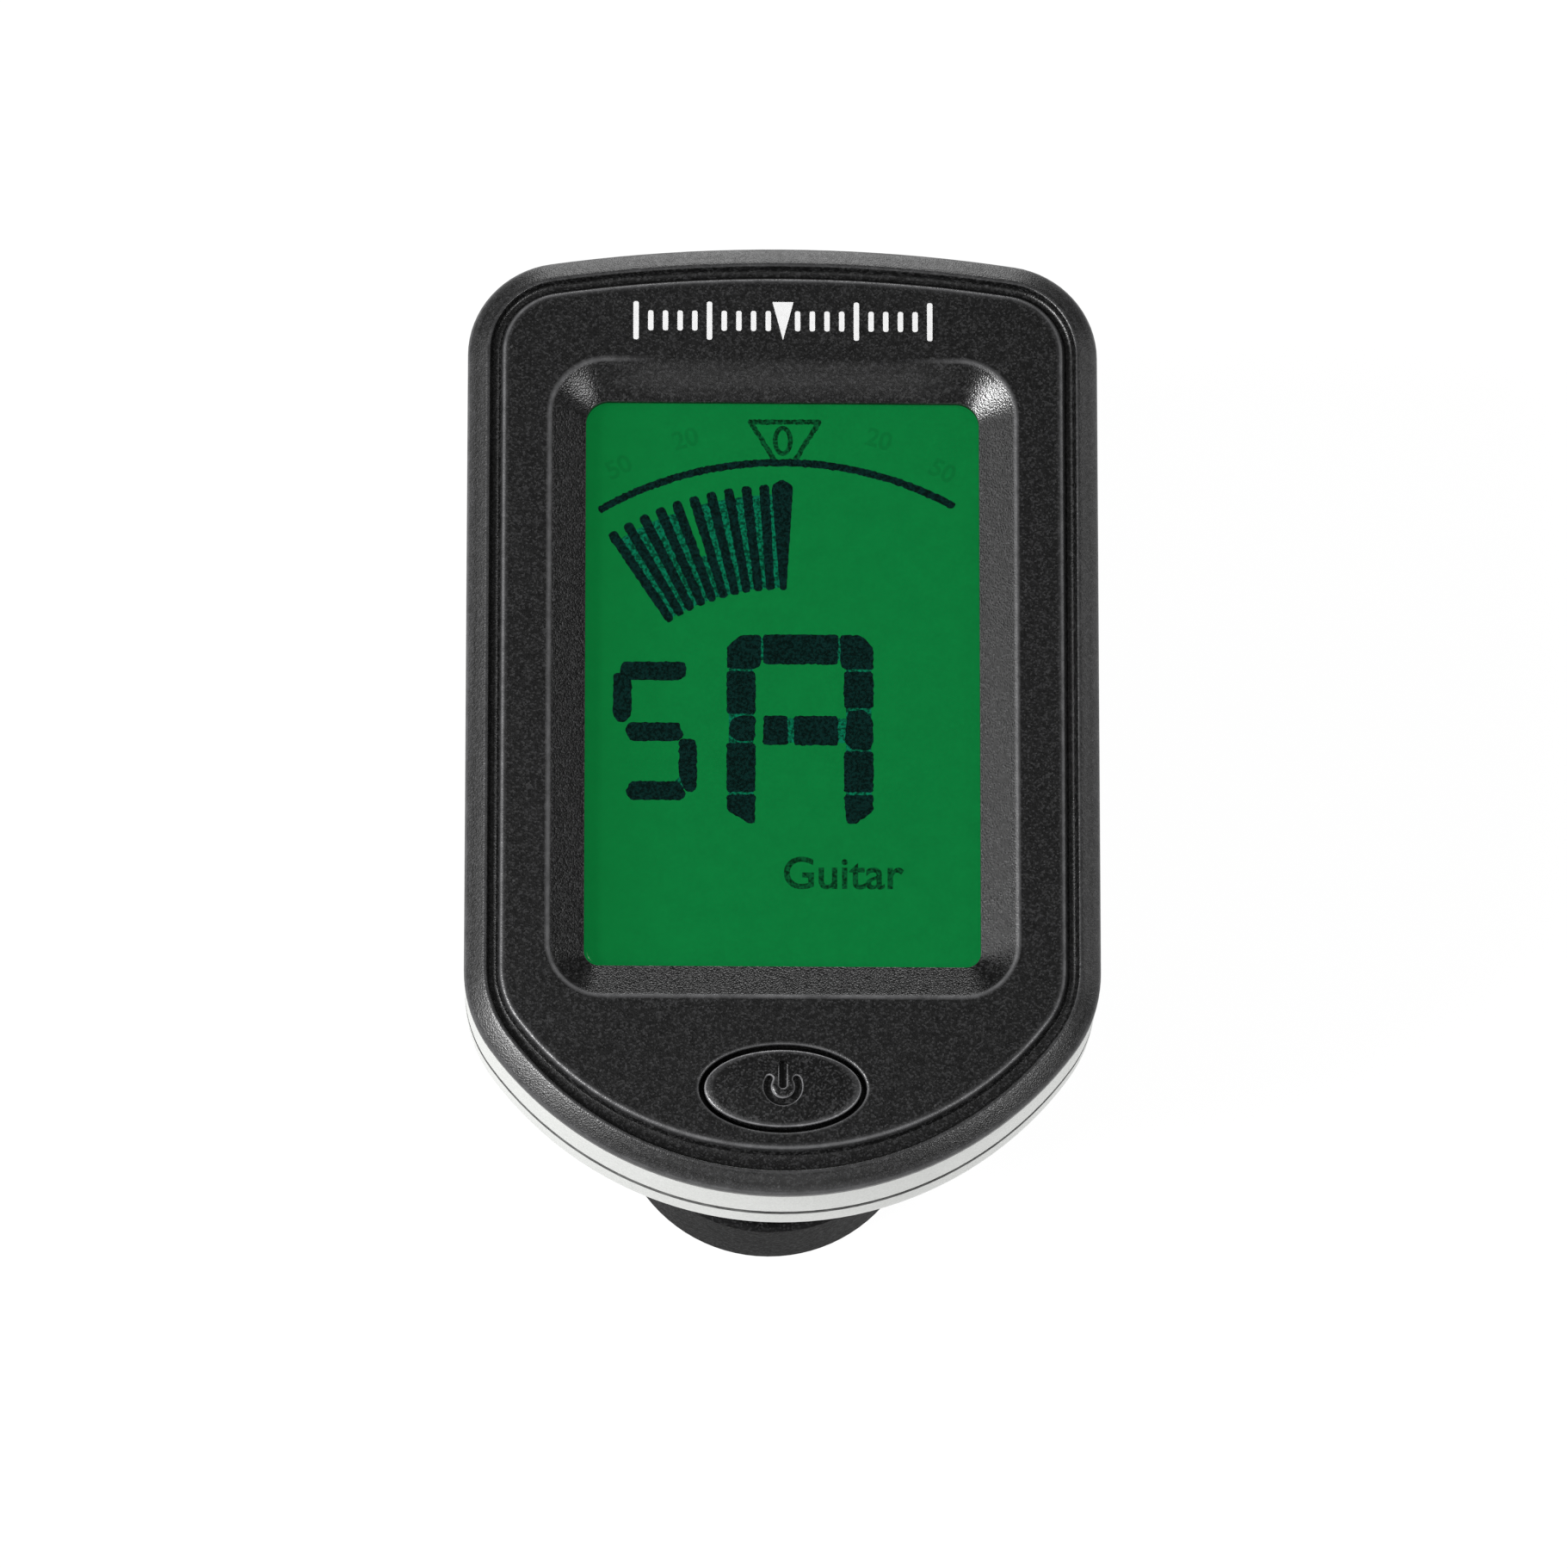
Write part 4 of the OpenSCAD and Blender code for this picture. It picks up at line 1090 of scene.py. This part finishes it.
def block(x0, x1, outline, soft):
    """A side profile extruded across the clamp, with rounded rims; returns its tool object."""
    bm = new_mesh()
    rings = []
    # The second values paint the tab rims light: rubbed wear and painted highlight.
    rim = ((90, 0.2), (60, 0.6), (30, 0.5), (0, 0))
    for edge, sign, steps in ((x0, 1, rim), (x1, -1, rim[::-1])):
        for inset, rise, wear_sheen_and_shade in roll(soft, steps):
            loop = inset_loop(outline, inset)
            rings.append(add_ring(bm, [(edge + sign * rise, y, z) for y, z in loop], wear_sheen_and_shade))
    capped(bm, rings)
    return make_object(bm, "block", weighted=False)


def add_tab(jaw, side, near, far, centre, r, z_end):
    """Joins a round-ended tab to a clamp arm; its straight end reaches z_end above or below the round end."""
    y, z = centre
    way = 1 if z_end > z else -1
    leg = [(z_end - z) * i / 4 for i in range(1, 5)]
    outline = [*arc(centre, r, 90 + 90 * way, 270 + 90 * way, 28), *[(y + way * r, z + rise) for rise in leg],
               *[(y - way * r, z + rise) for rise in reversed(leg)]]
    x0, x1 = sorted((side * near, side * far))
    cut(jaw, block(x0, x1, outline, 0.25), "UNION")


def bore(obj, centre, start, end, r, sides=48, axis="x"):
    """Cuts a round or six-sided hole along X or Z; centre holds its other two coordinates."""
    bm = new_mesh()
    points = arc(centre, r, 0, 360, sides)[:-1]
    capped(bm, [add_ring(bm, [(at, a, b) if axis == "x" else (a, b, at) for a, b in points])
                for at in (start, end)])
    cut(obj, make_object(bm, "rod", weighted=False))


# Rings round the clamp arms' edges, as (degrees, weight of rubbed wear and painted edge highlight)
JAW_EDGE = ((90, 0), (65, 0.3), (40, 0.6), (20, 0.3), (0, 0))


def build_lower_jaw():
    """The lower half of the clamp: pad seat, throat, flat base, tapered handle and pin lugs."""
    throat = arc((-6.5, 5.5), 2, -160, -90, 8)
    high = [(CLIP_TIP, JAW_TOP), (-9, JAW_TOP), *throat, (9, 3.5), (CLIP_END, 2.28)]
    bm = plate((CLIP_W / 2, CLIP_TIP, CLIP_END, 7.48, 4), lambda y: 0.0, side_line(high), 0.4, 0.22, JAW_EDGE,
               (22, 12), 20, low_relief=ribs(12.5, 2, 5, 5.5, 0.35, 1.4))
    jaw = make_object(bm, "lower_clamp_arm")
    for side in (-1, 1):
        add_tab(jaw, side, 5.2, 7.46, PIVOT, 3.2, 1.2)
    bore(jaw, PIVOT, -9, 9, 1.0)
    place(jaw, "lower_clamp", "black_clamp", mat_clamp, "lower_jaw")


def build_upper_jaw():
    """The upper half of the clamp: ribbed handle, pin lugs and the ears of the tilt hinge."""
    roll = arc((-6.5, UPPER_PLATE - 1), 1, 150, 90, 6)
    rise_end = HANDLE_RISE * (CLIP_END - HANDLE_START) / (CLIP_END + 1 - HANDLE_START)
    low = [(CLIP_TIP, UPPER_FACE), (-9, UPPER_FACE), *roll, (HANDLE_START, UPPER_PLATE),
           (CLIP_END, UPPER_PLATE + rise_end)]
    high = [(CLIP_TIP, UPPER_TOP), (HANDLE_START + 0.2, UPPER_TOP), (CLIP_END, UPPER_TOP + rise_end)]
    bm = plate((CLIP_W / 2, CLIP_TIP, CLIP_END, 3.6, 4), side_line(low), side_line(high), 0.45, 0.2, JAW_EDGE,
               (22, 12), 28, high_relief=ribs(12.6, 1.8, 6, 5.6, 0.45, 1.0))
    jaw = make_object(bm, "upper_clamp_arm")
    for side in (-1, 1):
        add_tab(jaw, side, 2.9, 5.0, PIVOT, 3.2, UPPER_PLATE + 1)
        add_tab(jaw, side, 4.0, 6.4, TILT, 2.5, UPPER_TOP - 1)
    bore(jaw, PIVOT, -9, 9, 1.05)
    bore(jaw, TILT, -9, 9, 0.85)
    bore(jaw, TILT, 5.2, 9, 1.56)
    bore(jaw, TILT, -9, -5.2, 1.89, 6)
    place(jaw, "upper_clamp", "black_clamp", mat_clamp, "upper_jaw")


def build_pad(name, node, body, low, high, groove_low, groove_high):
    """A rubber pad with grooves across its lower or its upper face."""
    def groove(y):
        deep = 0.0
        for middle in (-11.0, -13.0, -15.0, -17.0):
            off = abs(y - middle - 0.4) / 0.45
            deep = max(deep, clamp(2.2 * (1 - off)))
        return 0.4 * deep

    half = CLIP_W / 2 - 1
    edge = [(degrees, 0.3) for degrees in (90, 60, 30, 0)]
    bm = plate((half, CLIP_TIP + 1, -9, half, 0.5), lambda y: low + groove_low * groove(y),
               lambda y: high - groove_high * groove(y), 0.2, 0.09, edge, (60, 5), 16)
    place(make_object(bm, name), body, "pad_rubber", mat_rubber, node)


def build_neck():
    """The swivel disc, its hub and the arm down to the tilt hinge, as one moulding."""
    bm = new_mesh()
    rings = []
    # The third values paint the disc's rims light: rubbed wear and painted highlight.
    profile = [(6.1, 19.65, 0), (6.26, 19.69, 0.4), (6.36, 19.79, 0.6), (6.4, 19.95, 0.2), (6.4, 21.6, 0),
               (6.37, 21.78, 0.5), (6.28, 21.87, 0.5), (6.1, 21.9, 0), (3.95, 21.9, 0), (3.95, 23.46, 0),
               (3.85, 23.55, 0)]
    for r, z, wear_sheen_and_shade in profile:
        rings.append(flat_ring(bm, circle(0, SWIVEL_Y, r, 96), z, wear_sheen_and_shade))
    capped(bm, rings)
    neck = make_object(bm, "tilt_neck")
    y, z = TILT
    knuckle = arc(TILT, 2.4, 100, 290, 30)
    arm = [*knuckle, (y + 2.6, z - 2.05), (y + 4.2, z - 1.4), (SWIVEL_Y + 1.2, 18.3), (SWIVEL_Y + 3.3, 19.5),
           (SWIVEL_Y + 3.4, 20.4), (y + 2.2, 20.4), (y + 0.7, z + 2.75)]
    cut(neck, block(-3.6, 3.6, arm, 0.3), "UNION")
    bore(neck, TILT, -5, 5, 0.85)
    bore(neck, (0, SWIVEL_Y), 16, 25, 1.12, axis="z")
    place(neck, "neck_arm", "black_clamp", mat_clamp, "neck")


def spring_line():
    """The spring's centre line: lower leg, five turns round the pin, upper leg."""
    coil_r, half, leg_y, turns = 2.3, 2.1, 10.0, 5
    start, finish = -70, 65
    sweep = 360 * turns + start - finish
    steps = 260

    def on_coil(a, x):
        a = math.radians(a)
        return Vector((x, PIVOT[0] + coil_r * math.cos(a), PIVOT[1] + coil_r * math.sin(a)))

    low_leg = Vector((half, PIVOT[0] + leg_y, 3.45))
    high_leg = Vector((-half, PIVOT[0] + leg_y, UPPER_PLATE + 1.55))
    first, last = on_coil(start, half), on_coil(start - sweep, -half)
    points = [low_leg.lerp(first, i / 12) for i in range(12)]
    for i in range(steps + 1):
        points.append(on_coil(start - sweep * i / steps, half - 2 * half * i / steps))
    points += [last.lerp(high_leg, i / 12) for i in range(1, 13)]
    return points


def build_spring():
    """The torsion spring as a drawn wire; it winds between the two clamp arms."""
    bm = new_mesh()
    line = spring_line()
    rings = []
    sides, r = 14, 0.4
    turn = [2 * math.pi * k / sides for k in range(sides)]
    for i, point in enumerate(line):
        along = (line[min(i + 1, len(line) - 1)] - line[max(i - 1, 0)]).normalized()
        side = along.cross(Vector((1, 0, 0))).normalized()
        other = side.cross(along)
        reach = r * (0.75 if i in (0, len(line) - 1) else 1.0)
        rings.append(add_ring(bm, [point + reach * (math.cos(t) * other + math.sin(t) * side) for t in turn]))
    loft(bm, rings)
    fill_end(bm, rings[0])
    fill_end(bm, rings[-1])
    spring = make_object(bm, "wire_spring", sharp=50, weighted=False)
    place(spring, None, "spring_steel", mat_spring, "torsion_spring")
    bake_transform(spring, "lower_clamp", "upper_clamp", start=(0.0021, 0, 0), end=(-0.0021, 0, 0))


def fill_end(bm, ring):
    """Closes a tube with a fan about its middle."""
    middle = bm.verts.new(sum((v.co for v in ring), Vector()) / len(ring))
    for i in range(len(ring)):
        bm.faces.new((ring[i - 1], ring[i], middle))


build_front_cover()
build_button()
build_mid_frame()
build_rear_cover()
build_battery_door()
display_top = build_display()
build_window()
build_segments(display_top)
build_label(display_top)
build_face_mark()
build_lower_jaw()
build_upper_jaw()
build_pad("lower_rubber", "lower_pad", "lower_clamp", JAW_TOP, JAW_TOP + PAD_T, 0, 1)
build_pad("upper_rubber", "upper_pad", "upper_clamp", UPPER_FACE - PAD_T, UPPER_FACE, 1, 0)
build_neck()
build_spring()


# --- Carried-over CAD nodes ----------------------------------------------------------

CAD_MATERIALS = {
    "backlight_guide": plain_plastic("diffuser_white", (0.8, 0.84, 0.8), 0.5, 0.3),
    "backlight_leds": plain_plastic("led_lens", (0.85, 0.8, 0.5), 0.25, 0.2),
    "zebra_connector": soft_rubber("zebra_rubber", (0.55, 0.25, 0.3)),
    "switch_plunger": plain_plastic("plunger_red", (0.45, 0.05, 0.03), 0.45, 0.15),
    "tact_switch": metal("switch_lid", (0.5, 0.5, 0.52), 0.35),
    "circuit_board": solder_mask("solder_mask", (0.01, 0.13, 0.05)),
    "controller_chip": plain_plastic("chip_epoxy", (0.02, 0.02, 0.02), 0.55, 0.1),
    "smd_parts": plain_plastic("chip_ceramic", (0.25, 0.17, 0.11), 0.5, 0.15),
    "crystal": metal("crystal_can", (0.66, 0.66, 0.68), 0.22),
    "piezo_disc": mat_brass,
    "piezo_leads": plain_plastic("lead_red", (0.5, 0.03, 0.02), 0.4, 0.2),
    "battery": metal("cell_can", (0.72, 0.72, 0.74), 0.24, 0.15),
    "battery_contact_positive": metal("contact_bronze", (0.72, 0.55, 0.3), 0.3),
    "battery_contact_negative": metal("contact_plated", (0.66, 0.64, 0.6), 0.3),
    "housing_screws": mat_screw,
    "swivel_washer": mat_screw,
    "swivel_screw": mat_screw,
    "friction_washers": mat_brass,
    "tilt_screw": mat_screw,
    "tilt_nut": mat_screw,
    "pivot_pin": mat_pin,
}
UNBEVELLED = ("smd_parts", "controller_chip", "circuit_board")
for name, material in CAD_MATERIALS.items():
    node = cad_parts[name]
    node.data.materials.clear()
    node.data.materials.append(material)
    if name not in UNBEVELLED:
        bevel = node.modifiers.new("soft_edges", "BEVEL")
        bevel.width = 0.06 * MM
        bevel.segments = 2
        bevel.limit_method = "ANGLE"
        bevel.angle_limit = math.radians(50)
        bevel.harden_normals = True


# --- Camera, lights and floor --------------------------------------------------------


def add_camera():
    """The camera looks at the face 15 degrees off its normal, from below and slightly left."""
    tilt, side = math.radians(15), math.radians(-1.3)
    distance = 0.6
    target = Vector((0.05, -3.43, FACE)) * MM
    data = bpy.data.cameras.new("camera")
    data.sensor_width = 36
    data.lens = 291.9
    camera = bpy.data.objects.new("camera", data)
    scene.collection.objects.link(camera)
    towards = Vector((math.sin(side), -math.sin(tilt), math.cos(tilt))).normalized()
    across = Vector((0, 1, 0)).cross(towards).normalized()
    upward = towards.cross(across)
    turned = Matrix((across, upward, towards)).transposed().to_4x4()
    camera.matrix_world = Matrix.Translation(target + distance * towards) @ turned
    scene.camera = camera


def add_area(name, azimuth, elevation, distance, width, height, energy):
    """A soft box in a direction from the tuner."""
    data = bpy.data.lights.new(name, "AREA")
    data.shape = "RECTANGLE"
    data.size = width
    data.size_y = height
    data.energy = energy
    light = bpy.data.objects.new(name, data)
    scene.collection.objects.link(light)
    a, e = math.radians(azimuth), math.radians(elevation)
    light.location = distance * Vector((math.cos(a) * math.cos(e), math.sin(a) * math.cos(e), math.sin(e)))
    light.rotation_euler = (Vector((0, 0, 0.02)) - light.location).to_track_quat("-Z", "Y").to_euler()


def add_floor():
    """A plain pale floor that glows a little, so that shadows stay faint."""
    bm = new_mesh()
    flat_solid(bm, rounded(-1200, 1200, -1200, 1200, 300, 300), -2.05, 2.0)
    floor = make_object(bm, "floor")
    mat = Surface("pale_floor", (0.05, 0.05, 0.05), 0.9, specular=0.0)
    mat.feed({"Base Color": mat.shades(mat.noise(40, 2), 0.3, 0.7, 1.0, 1.1),
              "Emission Color": (1, 1, 1, 1), "Emission Strength": 0.97})
    floor.data.materials.append(mat.material)


def add_world():
    """Even white studio light from all round."""
    world = bpy.data.worlds.new("studio")
    world.use_nodes = True
    background = world.node_tree.nodes["Background"]
    background.inputs["Color"].default_value = (1, 1, 1, 1)
    background.inputs["Strength"].default_value = 0.12
    scene.world = world


add_camera()
add_world()
add_floor()
add_area("key_lower_left", 199, 50, 0.5, 0.20, 0.09, 3.3)
add_area("fill_lower_right", 326, 49, 0.55, 0.14, 0.10, 0.8)
add_area("front_low", 270, 38, 0.55, 0.22, 0.12, 0.17)
add_area("side_left", 161, 38, 0.55, 0.22, 0.14, 0.25)
add_area("side_right", 17, 24, 0.55, 0.22, 0.2, 0.27)
add_area("far_low", 90, 8, 0.6, 0.24, 0.24, 1.12)
scene.view_settings.view_transform = "Standard"
